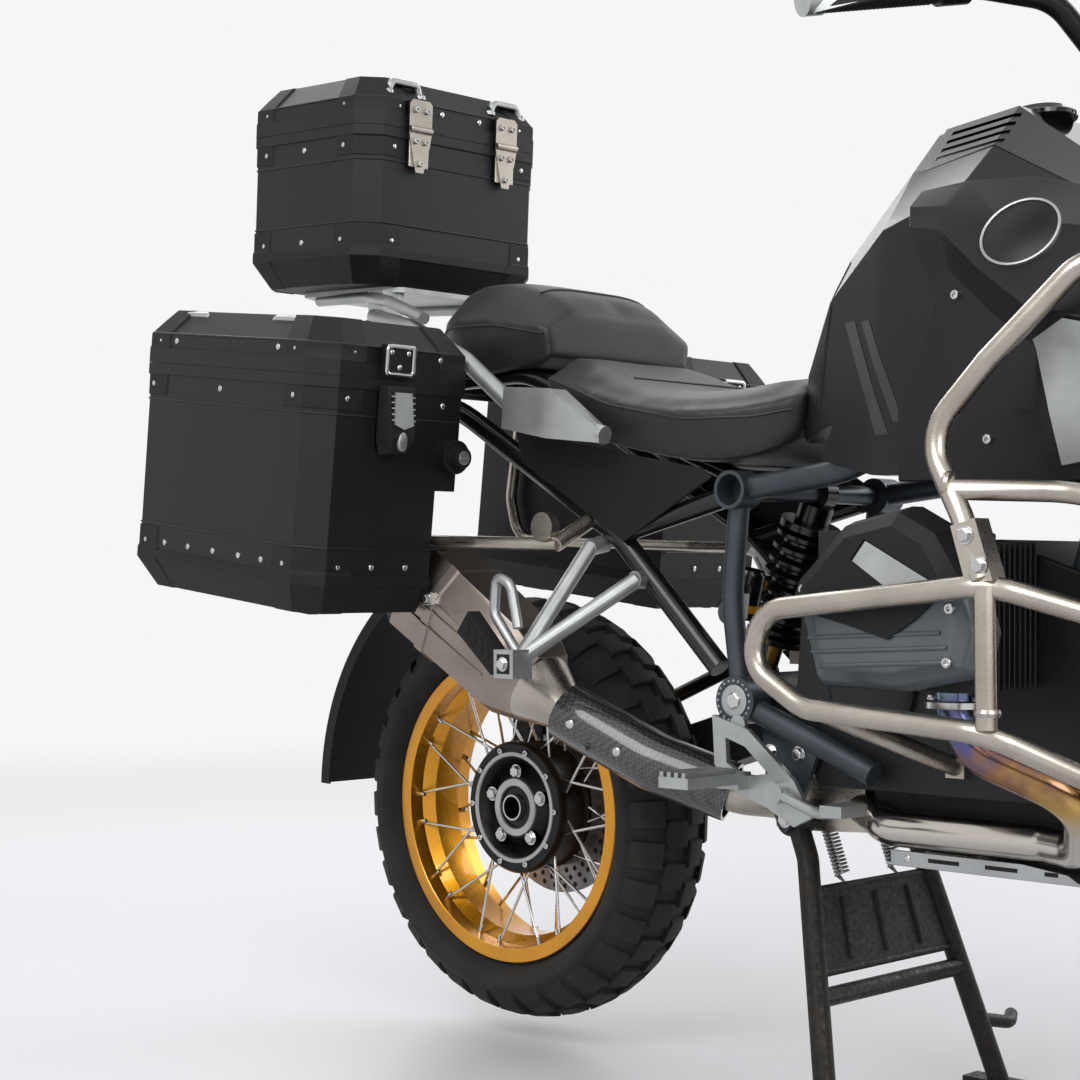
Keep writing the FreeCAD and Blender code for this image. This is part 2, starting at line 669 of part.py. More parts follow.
def crash_bars():
    y = bar_y
    thin = bar_tube - 1

    def bar(points, radius, bend=60.0):
        return tube([(along(px), py, pz) for px, py, pz in points], radius, bend)

    loop = bar([(1180, 118, 600), (1150, 250, 640), (1042, y, 686), (742, y, 656), (724, y, 592),
                (800, y, 546), (1040, y, 530), (1122, 260, 470), (1106, 100, 447)], bar_tube)
    post = bar([(1040, y, 534), (1038, y, 684)], thin)
    stay = bar([(820, y - 4, 544), (840, 250, 505), (850, 135, 468)], thin)
    front = bar([(1180, -122, 600), (1180, 122, 600)], thin)
    low_front = bar([(1106, -104, 447), (1106, 104, 447)], thin)
    foot = box(along(851) - 13, along(851) + 13, engine_half_width, 140, 455, 481)
    upper = bar([(1036, y, 690), (1000, y - 14, 760), (948, y - 26, 846), (1020, y - 34, 925),
                 (1128, y - 56, 1030), (1208, 258, 1000), (1214, 214, 890), (1198, 208, 756)], bar_tube, 55)
    brace = tube([(along(984), y - 18, 788), (along(1120), y - 40, 782), (along(1198), 216, 750),
                  (along(1090), 136, 740), (on_down_tube(740) + 5, 100, 740)], thin, 70)
    joint = plate_y([(along(x), z) for x, z in ((1018, 690), (1052, 690), (1030, 756), (1000, 748))],
                    y - 20, y + 7)
    left = [loop, post, stay, foot, upper, brace, joint]
    whole = fuse(*left, *[mirrored(s) for s in left], front, low_front)
    put("crash_bars", largest(whole.cut(parts["main_frame"])))


def across(x, half):
    """A closed outline at one station from its left half, given as (y, z) from top to bottom."""
    return [(x, -y, z) for y, z in half] + [(x, y, z) for y, z in reversed(half)]


def tank_rows():
    # columns: station, crown half width and height, cover edge, shoulder, lower edge
    return ((front_start_x, (56, 985), (84, 972), (104, 950), (112, 872)),
            (along(680), (66, 1118), (116, 1088), (156, 1034), (180, 838)),
            (along(780), (66, 1240), (122, 1186), (186, 1108), (210, 815)),
            (along(900), (76, 1250), (128, 1204), (204, 1140), (222, 812)),
            (along(1010), (70, 1168), (120, 1140), (182, 1096), (200, 850)))


def fuel_tank():
    tank = loft([across(x, half) for x, *half in tank_rows()], True)
    # columns: station, half width and height of the room over the frame and the engine
    room = ((590, 180, 858), (760, 182, 892), (900, 150, 985), (1030, 95, 1100))
    tunnel = loft([across(along(x), ((half, z), (half, 700))) for x, half, z in room], True)
    put("fuel_tank", tank.cut(tunnel))
    # the glossy cover: the tank's crown grown by a wall, with louvres in its flanks
    wall, ease = 5.0, 12.0
    shell = []
    for i, (x, crown, edge, *_) in enumerate(tank_rows()[2:]):
        shell.append(across(x if i else x + ease, [(crown[0] + 2, crown[1] + wall), (edge[0] + wall, edge[1] - 3),
                                                   (edge[0] - 30, edge[1] - 40)]))
    cover = loft(shell, True).cut(tank)
    slots = []
    for i in range(louvre_count):
        z = 1196 + louvre_pitch * i
        slot = box(along(808), along(908), 60, 160, z, z + louvre_pitch * 0.45)
        slot.rotate(V(along(808), 0, z), V(0, 1, 0), -4)
        slots += [slot, mirrored(slot)]
    put("tank_cover", largest(cover.cut(Part.makeCompound(slots))))


def skin(rows, wall):
    """A sheet on the left: each row is a station and its outer (y, z) line from top to bottom."""
    sections = []
    for station, line in rows:
        x = along(station)
        outer = [(x, y, z) for y, z in line]
        inner = [(x, y - wall, z - wall * 0.5) for y, z in reversed(line)]
        sections.append(outer + inner)
    return loft(sections, True)


def fairing():
    # columns: station, then (y, z) of the top edge, badge panel, crease, below the crease, flank, bottom edge
    rows = ((830, ((214, 1140), (244, 1122), (250, 1100), (247, 1050), (243, 880), (236, 806))),
            (913, ((202, 1148), (246, 1112), (264, 1084), (253, 1040), (249, 880), (240, 803))),
            (980, ((174, 1147), (248, 1088), (285, 1029), (264, 986), (259, 880), (246, 800))),
            (1044, ((158, 1130), (246, 1078), (300, 984), (277, 940), (268, 872), (250, 797))),
            (1122, ((146, 1112), (234, 1064), (296, 962), (275, 920), (262, 866), (244, 802))),
            (1190, ((128, 1096), (212, 1046), (262, 942), (252, 908), (242, 862), (230, 812))))
    sheet = skin(rows, 4.0)
    rear_edge = [(780, 1230), (842, 1180), (857, 1125), (875, 1066), (899, 1016), (886, 979), (843, 887),
                 (838, 811), (836, 760), (780, 760)]
    sheet = sheet.cut(plate_y([(along(x), z) for x, z in rear_edge], 150, 340))
    sheet = sheet.cut(parts["fuel_tank"]).cut(parts["tank_cover"])
    put("side_shrouds", pair(largest(sheet)))
    proud = 5.0
    panel_outline = [(1046, 948), (1090, 966), (1168, 946), (1182, 880), (1148, 826), (1064, 814), (1056, 880)]
    panel = skin([(x, [(y + proud, z) for y, z in line]) for x, line in rows], proud)
    panel = panel.common(plate_y([(along(x), z) for x, z in panel_outline], 150, 340)).cut(sheet)
    put("shroud_panels", pair(largest(panel)))
    core = box(-95, -62, 122, 236, 560, 780)
    tanks = [box(-97, -60, 110, 122.0, 556, 784), box(-97, -60, 236.0, 244, 556, 784)]
    rear_lug = rod((-90, 118, 710), (-136, 94, 710), 7)
    side_lug = rod((-78, 238, 690), (-78, 300, 690), 7)
    whole = leaned(fuse(core, *tanks, rear_lug, side_lug)).cut(parts["main_frame"]).cut(parts["side_shrouds"])
    put("radiators", pair(largest(whole)))
    # columns: way ahead of the steering head, half width, crown and edge, both below the head's middle
    rows = ((228, 108, 98.8, 170), (292, 100, 116, 176), (372, 84, 142, 188), (512, 56, 184, 214),
            (604, 24, 212, 228))
    outer, inner = [], []
    for way, half, crown, brim in rows:
        x, top, edge = head_x + way, head_z - crown, head_z - brim
        outer.append([(x, -half, edge), (x, -half * 0.5, top), (x, half * 0.5, top), (x, half, edge)])
        inner.append([(x, -half + 4, edge - 1), (x, -half * 0.5 + 2, top - 4), (x, half * 0.5 - 2, top - 4),
                      (x, half - 4, edge - 1)])
    sheets = [o + list(reversed(i)) for o, i in zip(outer, inner)]
    put("beak", loft(sheets, True))


def front_end():
    # columns: way ahead of the steering head, half width, height from the head's middle
    back = ((192, 118, -98), (174, 130, -32), (162, 96, 12))
    front = ((264, 92, -98), (249, 112, -48), (237, 80, -8))
    lamp = loft([[at_head(way, y, up) for way, y, up in ring] +
                 [at_head(way, -y, up) for way, y, up in reversed(ring)] for ring in (back, front)], True)
    # columns: height and x of the middle from the head, how far the edges sweep back, half width
    rows = ((18, 294, 62, 118), (130, 238, 72, 160), (260, 164, 66, 168), (390, 82, 48, 118))
    sections = []
    for up, way, sweep, half in rows:
        x, z = head_x + way, head_z + up
        front = [V(x - sweep, -half, z), V(x, 0, z), V(x - sweep, half, z)]
        back = [V(x - sweep - 3, half - 2, z), V(x - 4.5, 0, z), V(x - sweep - 3, -half + 2, z)]
        edges = [Part.Arc(*front).toShape(), Part.LineSegment(front[2], back[0]).toShape(),
                 Part.Arc(*back).toShape(), Part.LineSegment(back[2], front[0]).toShape()]
        sections.append(Part.Wire(edges))
    put("windscreen", Part.makeLoft(sections, True, True))
    dash = leaned(loft([[(172, -95, 930), (172, 95, 930), (200, 88, 930), (200, -88, 930)],
                        [(172, -95, 1036), (172, 95, 1036), (196, 88, 1036), (196, -88, 1036)]], True))
    arms = []
    for side in SIDES:
        arms.append(tube([at_head(-4, side * 14, -26), at_head(82, side * 15, -6), at_head(182, side * 16, -14)],
                         9, 60))
        arms.append(rod(at_head(192, side * 60, -10), at_head(154, side * 60, 126), 8))
        arms.append(rod(at_head(202, side * 80, -10), at_head(292, side * 80, 70), 7))
    bracket = largest(fuse(lamp, *arms).cut(parts["main_frame"]).cut(parts["windscreen"]).cut(dash))
    put("headlight", bracket)
    put("dashboard", dash)


def seats():
    # columns: station, top, crown half width, side half width, side height, bottom half width and height
    rider = ((196, 1010, 118, 176, 975, 168, 905), (330, 958, 128, 186, 935, 176, 872),
             (465, 936, 120, 186, 912, 172, 846), (560, 948, 84, 160, 915, 150, 850),
             (618, 968, 52, 118, 930, 108, 888))
    shape = loft([across(x, ((crown, top), (side, side_z), (low_y, low_z)))
                  for x, top, crown, side, side_z, low_y, low_z in rider])
    put("rider_seat", shape.cut(parts["fuel_tank"]).cut(parts["rear_subframe"]))
    pillion = ((-78, 1092, 60, 96, 1060, 88, 1014), (-20, 1118, 110, 158, 1072, 146, 994),
               (90, 1118, 112, 170, 1066, 156, 990), (186, 1072, 96, 158, 1046, 150, 1004))
    back = loft([across(x, ((crown, top), (side, side_z), (low_y, low_z)))
                 for x, top, crown, side, side_z, low_y, low_z in pillion])
    put("passenger_seat", back.cut(parts["rear_subframe"]))


def rear_trim():
    cover = plate_y([(120, 960), (190, 890), (480, 836), (500, 824), (345, 742), (150, 856)], 165 + running_gap, 170)
    rail = tube([(352, 214, 882), (180, 216, 930), (70, 206, 1005), (-60, 192, 1062), (-215, 132, 1098)],
                13, 120)
    cap = loft([[(352, 206, 872), (352, 226, 872), (352, 226, 890), (352, 206, 890)],
                [(262, 196, 882), (262, 236, 882), (262, 234, 950), (262, 196, 950)],
                [(172, 196, 900), (172, 232, 900), (172, 228, 958), (172, 196, 958)]], True)
    foot = box(150, 190, 124, 204, 936, 952)
    put("under_seat_covers", pair(cover))
    put("grab_rails", pair(fuse(rail, cap, foot).cut(parts["rear_subframe"])))
    tail = loft([[(-84, -100, 975), (-84, 100, 975), (-84, 84, 1052), (-84, -84, 1052)],
                 [(-262, -78, 1012), (-262, 78, 1012), (-262, 66, 1056), (-262, -66, 1056)]], True)
    arm = plate_y([(-190, 1016), (-240, 1020), (-409, 812), (-411, 780), (-372, 800)], -30, 30)
    board = plate_y([(-402, 812), (-410, 808), (-446, 650), (-438, 650)], -100, 100)
    put("tail_unit", fuse(tail, arm, board).cut(parts["rear_subframe"]))
    lamp = box(-276, -262.0, -60, 60, 1016, 1050)
    signals = []
    for side in SIDES:
        signals.append(rod((-250, side * 72, 1030), (-300, side * 150, 1018), 7))
        signals.append(moved(Part.makeSphere(17), -304, side * 156, 1017))
    put("tail_lamps", fuse(lamp, *signals[:2], *signals[2:]).cut(parts["tail_unit"]))


def rack():
    top = -topcase_depth - running_gap
    plate = plate_z([(-125, -60), (-95, -105), (115, -112), (135, -90), (135, 90), (115, 112), (-95, 105),
                     (-125, 60)], top - 8, top)
    plate = pitched(plate, topcase_x, 0, topcase_seam_z, topcase_pitch_deg)
    left = [tube([(-395, 96, 1143), (-250, 112, 1134), (-140, 168, 1112), (-20, 204, 1072)], 9, 80),
            box(-240, -205, 90, 124, 1096, 1140)]
    post = [rod((-215, s * 84, 1046), (-215, s * 84, 1142), 9) for s in SIDES]
    whole = fuse(plate, *left, *[mirrored(s) for s in left], *post)
    put("luggage_rack", whole.cut(parts["tail_unit"]).cut(parts["grab_rails"]).cut(parts["rear_subframe"]))
    rails = []
    high_y = pannier_inner_y - 16
    for side, low_y in ((-1, pannier_step_y - 11), (1, high_y)):
        pts = [(272, 222, 738), (140, low_y - 6, 742), (-60, low_y, 748), (-246, low_y, 758),
               (-264, high_y, 826), (-236, high_y, 990), (-150, 196, 1076)]
        rail = tube([(x, side * y, z) for x, y, z in pts], 9, 50)
        stay = rod((275, side * 150, 777), (272, side * 226, 738), 11)
        wall_y = pannier_step_y if side < 0 else pannier_inner_y
        pucks = [rod((-60, side * low_y, 748), (-60, side * (wall_y - running_gap), 748), 12),
                 rod((-253, side * high_y, 890), (-253, side * (pannier_inner_y - running_gap), 890), 12),
                 ring_y(20, 0, *sorted((side * 220, side * 236)), 254, 762)]
        rails.append(fuse(rail, stay, *pucks))
    whole = Part.makeCompound([r.cut(parts["rear_subframe"]).cut(parts["luggage_rack"])
                               .cut(parts["grab_rails"]) for r in rails])
    put("pannier_rails", whole)


def case_outline(length, y_in, y_out, chamfer):
    """Plan outline with its two outer corners cut; y_in is the flat side, y_out the cut one."""
    sign = 1 if y_out > y_in else -1
    front, back = length / 2, -length / 2
    return [(back, y_in), (front, y_in), (front, y_out - sign * chamfer), (front - chamfer, y_out),
            (back + chamfer, y_out), (back, y_out - sign * chamfer)]


def grown(outline, by):
    """An outline drawn smaller or larger about its own middle by a fixed width."""
    xs, ys = [p[0] for p in outline], [p[1] for p in outline]
    cx, cy = (min(xs) + max(xs)) / 2, (min(ys) + max(ys)) / 2
    half_x, half_y = (max(xs) - min(xs)) / 2, (max(ys) - min(ys)) / 2
    return [(cx + (x - cx) * (half_x + by) / half_x, cy + (y - cy) * (half_y + by) / half_y)
            for x, y in outline]


def level(outline, z):
    return [(x, y, z) for x, y in outline]


def case_body(outline, depth):
    """Open-topped box with a narrower plastic base; its seam with the lid is at z = 0."""
    base = 42.0
    outer = fuse(plate_z(outline, -depth + base, 0),
                 loft([level(grown(outline, -22), -depth), level(grown(outline, 2), -depth + base)], True),
                 plate_z(grown(outline, 3), -16, 0), plate_z(grown(outline, 3), -depth + base - 2,
                                                              -depth + base + 12))
    inner = fuse(plate_z(grown(outline, -case_wall), -depth + base, 1),
                 loft([level(grown(outline, -22 - case_wall), -depth + case_wall),
                       level(grown(outline, 2 - case_wall), -depth + base)], True))
    return outer.cut(inner)


def case_lid(outline):
    """Hollow lid with a band at its edge and a top like a cut-off pyramid."""
    band = 22.0
    outer = fuse(plate_z(grown(outline, 3), running_gap, band),
                 loft([level(grown(outline, 0), band), level(grown(outline, 0), band + 20)], True),
                 loft([level(grown(outline, 0), band + 20), level(grown(outline, -28), lid_height)], True))
    inner = fuse(plate_z(grown(outline, -case_wall), 0, band + 18),
                 loft([level(grown(outline, -case_wall), band + 18),
                       level(grown(outline, -28 - case_wall), lid_height - case_wall)], True))
    return outer.cut(inner)


def eye(x, y, z, along_y):
    """A cast lashing eye on a lid."""
    span, rise = 34.0, 17.0
    arch = tube([(-span, 0, 0), (-span + 8, 0, rise), (span - 8, 0, rise), (span, 0, 0)], 5, 9)
    if along_y:
        arch.rotate(V(0, 0, 0), V(0, 0, 1), 90)
    return moved(arch, x, y, z)


def latch(width, deep):
    """Toggle latch: a hook on the lid side of the seam and a lock body below it, facing +x."""
    lower = loft([[(0, -width / 2, -8), (deep, -width / 2 + 4, -8), (deep, width / 2 - 4, -8), (0, width / 2, -8)],
                  [(0, -width / 2, -82), (deep + 10, -width / 2 + 6, -78), (deep + 10, width / 2 - 6, -78),
                   (0, width / 2, -82)],
                  [(0, -width / 2 + 6, -104), (deep, -width / 2 + 14, -100), (deep, width / 2 - 14, -100),
                   (0, width / 2 - 6, -104)]], True)
    upper = box(0, 7, -width / 2, width / 2, 4, 48)
    return lower, upper


def luggage():
    latches = []
    right = case_outline(pannier_length, -pannier_inner_y, -pannier_outer_y, case_chamfer)
    left = case_outline(pannier_length, pannier_inner_y, pannier_outer_y, case_chamfer)
    for name, side, outline in (("right", -1, right), ("left", 1, left)):
        body = case_body(outline, pannier_depth)
        if side < 0:
            # the silencer's room: the lower inner side is set out
            step_y, step_z = -pannier_step_y, -150.0
            room = box(-300, 300, step_y, -200, -400, step_z)
            wall = box(-pannier_length / 2, pannier_length / 2, step_y - case_wall, step_y, -pannier_depth + 30,
                       step_z + case_wall)
            shelf = box(-pannier_length / 2, pannier_length / 2, step_y - case_wall, -pannier_inner_y - 0.5, step_z,
                        step_z + case_wall)
            body = fuse(body.cut(room), wall, shelf)
            body = largest(body)
        knob_y = side * (pannier_inner_y + 20)
        knob = [rod((pannier_length / 2 - 1, knob_y, -100), (pannier_length / 2 + 22, knob_y, -100), 24),
                rod((pannier_length / 2 + 20, knob_y, -100), (pannier_length / 2 + 36, knob_y, -100), 15)]
        body = fuse(body, *knob)
        lid = case_lid(outline)
        hook_x = pannier_length / 2 + 3 + running_gap
        place = (pannier_x, 0, pannier_seam_z, pannier_pitch_deg)
        put("pannier_" + name, pitched(body, *place))
        middle = side * (abs(outline[0][1]) + pannier_outer_y) / 2
        fittings = [eye(x, side * (pannier_outer_y - 27), lid_height - 24, False) for x in (-108, 100)]
        lower, upper = latch(56, 16)
        latches.append(pitched(moved(lower, hook_x, middle, 0), *place))
        fittings.append(moved(upper, hook_x - running_gap, middle, 0))
        put("pannier_" + name + "_lid", pitched(fuse(lid, *[largest(f.cut(lid)) for f in fittings]), *place))
    plan = []
    half_x, half_y, cut = topcase_length / 2, topcase_width / 2, case_chamfer
    for sx, sy in ((-1, -1), (1, -1), (1, 1), (-1, 1)):
        corner = [(sx * half_x, sy * (half_y - cut)), (sx * (half_x - cut), sy * half_y)]
        plan += corner if sx * sy > 0 else list(reversed(corner))
    place = (topcase_x, 0, topcase_seam_z, topcase_pitch_deg)
    put("topcase", pitched(case_body(plan, topcase_depth), *place))
    lid = case_lid(plan)
    fittings = [eye(x, s * 108, lid_height - 24, True) for x in (half_x - 14, -half_x + 14) for s in SIDES]
    for s in SIDES:
        fittings.append(moved(box(0, 5, -22, 22, 4, 44), half_x + 3, s * 92, 0))
        latches.append(pitched(moved(box(0, 5, -20, 20, -58, -4), half_x + 3 + running_gap, s * 92, 0), *place))
    lower, upper = latch(64, 18)
    turned = [lower, upper]
    for shape in turned:
        shape.rotate(V(0, 0, 0), V(0, 0, 1), 180)
    latches.append(pitched(moved(lower, -half_x - 3 - running_gap, 0, 0), *place))
    fittings.append(moved(upper, -half_x - 3, 0, 0))
    put("topcase_lid", pitched(fuse(lid, *[largest(f.cut(lid)) for f in fittings]), *place))
    put("case_latches", Part.makeCompound(latches))


def foot_controls():
    left = []
    plate = plate_y([(508, 516), (566, 500), (640, 440), (668, 396), (640, 382), (596, 404), (548, 418),
                     (512, 452)], frame_y + 20, frame_y + 28)
    window = plate_y([(530, 488), (562, 478), (600, 446), (560, 440), (532, 456)], frame_y, frame_y + 60)
    knuckle = box(530, 566, frame_y + 20, frame_y + 46, 424, 446)
    step = box(524, 572, frame_y + 46, frame_y + 150, 432, 446)
    teeth = [box(524 + i * 12, 530 + i * 12, frame_y + 50, frame_y + 148, 446, 452) for i in range(4)]
    left.append(fuse(plate.cut(window), knuckle, step, *teeth))
    lever = tube([(618, frame_y + 34, 424), (690, frame_y + 44, 404), (742, frame_y + 60, 412)], 7, 60)
    pad = box(732, 764, frame_y + 44, frame_y + 96, 408, 422)
    boss = ring_y(14, 0, frame_y + 28, frame_y + 42, 618, 424)
    left.append(fuse(lever, pad, boss))
    whole = fuse(*left)
    link = ring_y(12, 0, frame_y + 16, frame_y + 22, 545, 505)
    whole = fuse(whole, link)
    put("footpegs", pair(whole).cut(parts["main_frame"]))
    foot_x, foot_y, foot_z = 284, 305, 586
    bracket = [tube([(293, 178, 736), (foot_x, foot_y, foot_z)], 11),
               tube([(372, 174, 690), (foot_x, foot_y, foot_z)], 11),
               box(foot_x - 22, foot_x + 14, foot_y - 8, foot_y + 28, foot_z - 26, foot_z + 12)]
    peg = loft([[(foot_x - 30, 309, foot_z - 22), (foot_x - 30, 331, foot_z - 22), (foot_x - 8, 331, foot_z - 4),
                 (foot_x - 8, 309, foot_z - 4)],
                [(foot_x - 96, 309, foot_z + 34), (foot_x - 96, 331, foot_z + 34), (foot_x - 74, 331, foot_z + 62),
                 (foot_x - 74, 309, foot_z + 62)]], True)
    guard = tube([(foot_x - 6, foot_y, foot_z + 8), (foot_x - 52, 303, foot_z + 58), (foot_x - 48, 303, foot_z + 110),
                  (foot_x - 20, 303, foot_z + 98), (foot_x - 4, foot_y, foot_z + 40)], 7, 22)
    mount = [rod((293, 150, 740), (293, 182, 734), 12), rod((372, 150, 690), (372, 178, 690), 12)]
    put("passenger_pegs", pair(fuse(*bracket, peg, guard, *mount)).cut(parts["rear_subframe"])
        .cut(parts["pannier_rails"]))


def steering():
    x_axle = fork_offset
    legs = []
    for side in SIDES:
        y = side * fork_leg_y
        legs.append(Part.makeCylinder(slider_radius, slider_top + 24, V(x_axle - 2, y, -24)))
        legs.append(Part.makeCylinder(stanchion_radius, yoke_high + 8 - slider_top, V(x_axle - 2, y, slider_top)))
    bridge = box(-26, x_axle + 18, -fork_leg_y, fork_leg_y, bridge_low, bridge_high)
    yoke = plate_z([(-34, -40), (20, -fork_leg_y - 30), (x_axle + 30, -fork_leg_y - 30),
                    (x_axle + 34, -60), (x_axle + 10, 0), (x_axle + 34, 60), (x_axle + 30, fork_leg_y + 30),
                    (20, fork_leg_y + 30), (-34, 40)], yoke_low, yoke_high)
    yoke = yoke.cut(Part.makeCylinder(head_pin_radius + running_gap, 60, V(0, 0, yoke_low - 10)))
    axle = ring_y(axle_radius, 8, -fork_leg_y - 20, fork_leg_y + 20, x_axle, 0)
    pin = Part.makeCylinder(9, 60, V(0, 0, bridge_high - 5))
    risers = [box(-16, 16, s * 42 - 15, s * 42 + 15, yoke_high, 1002) for s in SIDES]
    fork = fuse(*legs, bridge, yoke, axle, pin, *risers)
    put("fork", leaned(fork))
    half = [(0, 0, 1015), (0, 92, 1015), (4, 190, 1122), (-40, 282, 1150), (-126, 452, 1154)]
    bar = tube([(x, -y, z) for x, y, z in reversed(half[1:])] + half[1:], bar_radius, 70)
    grips, levers, guards, mirrors = [], [], [], []
    a, b = V(*half[3]), V(*half[4])
    out = (b - a).normalize()
    for side in SIDES:
        def at(way, forward=0.0, up=0.0):
            p = a + out * way + V(forward, 0, up)
            return (p.x, side * p.y, p.z)
        grips.append(rod(at(44), at(186), grip_radius))
        grips.append(rod(at(4), at(40), 20))
        levers.append(tube([at(10, 8, 2), at(40, 48, 0), at(160, 46, 0)], 6.5, 18))
        grips.append(rod(at(20, 34, 30), at(20, 34, 72), 19))
        grips.append(rod(at(20, 10, 10), at(20, 34, 36), 9))
        rows = ((-4, 30, -26, 34), (40, 74, -44, 52), (110, 84, -50, 56), (170, 56, -40, 42), (202, 6, -22, 22))
        sections = []
        for way, forward, low, high in rows:
            sections.append([at(way, forward, low), at(way, forward + 9, (low + high) / 2), at(way, forward, high),
                             at(way, forward - 4, high), at(way, forward + 4, (low + high) / 2),
                             at(way, forward - 4, low)])
        guard = loft(sections, True)
        end_cap = rod(at(184), at(206), 19)
        guards.append(fuse(guard, end_cap))
        stem = tube([at(16, -6, 12), at(30, -6, 90), at(96, -4, 150)], 5.5, 40)
        x = at(100)[0]
        glass = loft([[(x - 8, side * y, z) for y, z in ((332, 1272), (458, 1282), (466, 1340), (346, 1356))],
                      [(x + 22, side * y, z) for y, z in ((350, 1284), (440, 1292), (446, 1330), (360, 1342))]],
                     True)
        mirrors.append(fuse(stem, glass))
    handlebar = fuse(bar, *grips)
    put("handlebar", leaned(handlebar).cut(parts["fork"]))
    put("hand_levers", leaned(Part.makeCompound(levers)).cut(parts["handlebar"]))
    put("hand_guards", leaned(Part.makeCompound(guards)).cut(parts["handlebar"]))
    put("mirrors", leaned(Part.makeCompound(mirrors)).cut(parts["handlebar"]))
    inner, wall, width = front_tyre_radius + 17, 4.0, 72.0
    guard = ring_y(inner + wall, inner, -width, width, wheelbase, front_axle_z)
    far = 700.0
    wedge = [(wheelbase, front_axle_z)]
    for deg in (38, 80, 120, 160):
        wedge.append((wheelbase + far * math.cos(math.radians(deg)),
                      front_axle_z + far * math.sin(math.radians(deg))))
    guard = guard.common(plate_y(wedge, -width, width))
    stays = leaned(pair(box(x_axle - 30, x_axle + 26, width - 6, fork_leg_y - 10, 250, 344)))
    put("front_mudguard", fuse(guard, stays).cut(parts["fork"]))
    calipers = []
    for side in SIDES:
        block = box(x_axle - 174, x_axle - 92, 52, 102, -14, 82)
        lug = box(x_axle - 104, x_axle - 20, 84, 104, 10, 60)
        block = fuse(block, lug)
        calipers.append(mirrored(block) if side < 0 else block)
    gap = []
    for side in SIDES:
        y0, y1 = sorted((side * (front_disc_y - 7), side * (front_disc_y + 7)))
        gap.append(ring_y(front_disc_radius + 6, 0, y0, y1, x_axle, 0))
    calipers = [c.cut(g) for c, g in zip(calipers, gap)]
    put("front_calipers", leaned(Part.makeCompound(calipers)).cut(parts["fork"]))
    low = leaned(Part.makeCylinder(24, 34, V(0, 0, bridge_high + 4)))
    low = low.cut(leaned(Part.makeCylinder(9 + running_gap, 80, V(0, 0, bridge_high - 10))))
    ball = lean_point(-8.5, 0, 448)
    hinge_x, hinge_y, hinge_z = arm_hinge
    tie_x, tie_y, tie_z = hinge_x + (ball[0] - hinge_x) * 0.46, 62, hinge_z + (ball[2] - hinge_z) * 0.46 + 9
    arms = [tube([ball, (tie_x, s * tie_y, tie_z), (hinge_x, s * hinge_y, hinge_z)], 15, 80) for s in SIDES]
    hinge = [rod((hinge_x, s * (hinge_y - 18), hinge_z), (hinge_x, s * (hinge_y + 20), hinge_z), 22) for s in SIDES]
    tie = rod((tie_x, -tie_y, tie_z), (tie_x, tie_y, tie_z), 12)
    lugs = [box(hinge_x - 48, hinge_x, s * hinge_y - 12, s * hinge_y + 12, hinge_z - 15, hinge_z + 15)
            for s in SIDES]
    arm = fuse(low, *arms, *hinge, tie, *lugs)
    arm = arm.cut(leaned(Part.makeCylinder(9 + running_gap, 80, V(0, 0, bridge_high - 10))))
    put("telelever", arm.cut(parts["engine_block"]).cut(parts["main_frame"]))
    unit = spring(V(tie_x, 0, tie_z), V(*at_head(-6, 0, -25)), 30, 6, 10, (0.14, 0.72))
    put("front_shock", largest(unit.cut(parts["telelever"]).cut(parts["main_frame"])))


def stands():
    left = []
    knee_x, knee_y, knee_z = stand_pivot_x + 21, stand_pivot_y + 3, stand_pivot_z - 49
    leg = tube([(stand_pivot_x, stand_pivot_y, stand_pivot_z), (knee_x, knee_y, knee_z),
                (stand_foot_x, stand_foot_y, 12)], stand_leg, 60)
    eye_ring = ring_y(22, 0, stand_pivot_y - 14, stand_pivot_y + 14, stand_pivot_x, stand_pivot_z)
    foot = box(stand_foot_x - 48, stand_foot_x + 36, stand_foot_y - 16, stand_foot_y + 20, 0, 16)
    left += [leg, eye_ring, foot]

    def on_leg(z):
        share = (knee_z - z) / (knee_z - 12)
        return (knee_x + (stand_foot_x - knee_x) * share, knee_y + (stand_foot_y - knee_y) * share)

    x_high, y_high = on_leg(296)
    x_low, y_low = on_leg(196)
    panel = loft([[(x_high - 3, -y_high, 296), (x_high - 3, y_high, 296), (x_high + 3, y_high, 296),
                   (x_high + 3, -y_high, 296)],
                  [(x_low - 3, -y_low, 196), (x_low - 3, y_low, 196), (x_low + 3, y_low, 196),
                   (x_low + 3, -y_low, 196)]], True)
    x_bar, y_bar = on_leg(168)
    bar = rod((x_bar, -y_bar, 168), (x_bar, y_bar, 168), stand_leg - 2)
    tang = tube([(680, stand_foot_y - 12, 96), (690, 236, 84), (672, 268, 88)], 9, 30)
    whole = fuse(*left, *[mirrored(s) for s in left], panel, bar, tang)
    bore = ring_y(stand_pin_radius + running_gap, 0, -200, 200, stand_pivot_x, stand_pivot_z)
    put("centre_stand", whole.cut(bore))
    x, y, z = side_stand_x, side_stand_y, side_stand_z
    leg = tube([(x, y, z), (x - 120, y + 4, z - 6), (x - side_stand_length, y + 8, z + 2)], 11, 200)
    foot = box(x - side_stand_length - 30, x - side_stand_length + 26, y - 12, y + 34, z - 10, z + 2)
    ball = moved(Part.makeSphere(17), x, y, z)
    bore = Part.makeCylinder(side_pin_radius + running_gap, 80, V(x, y, z) - side_stand_axis * 40, side_stand_axis)
    put("side_stand", fuse(leg, foot, ball).cut(bore))


parts = {}


def put(name, shape):
    parts[name] = shape


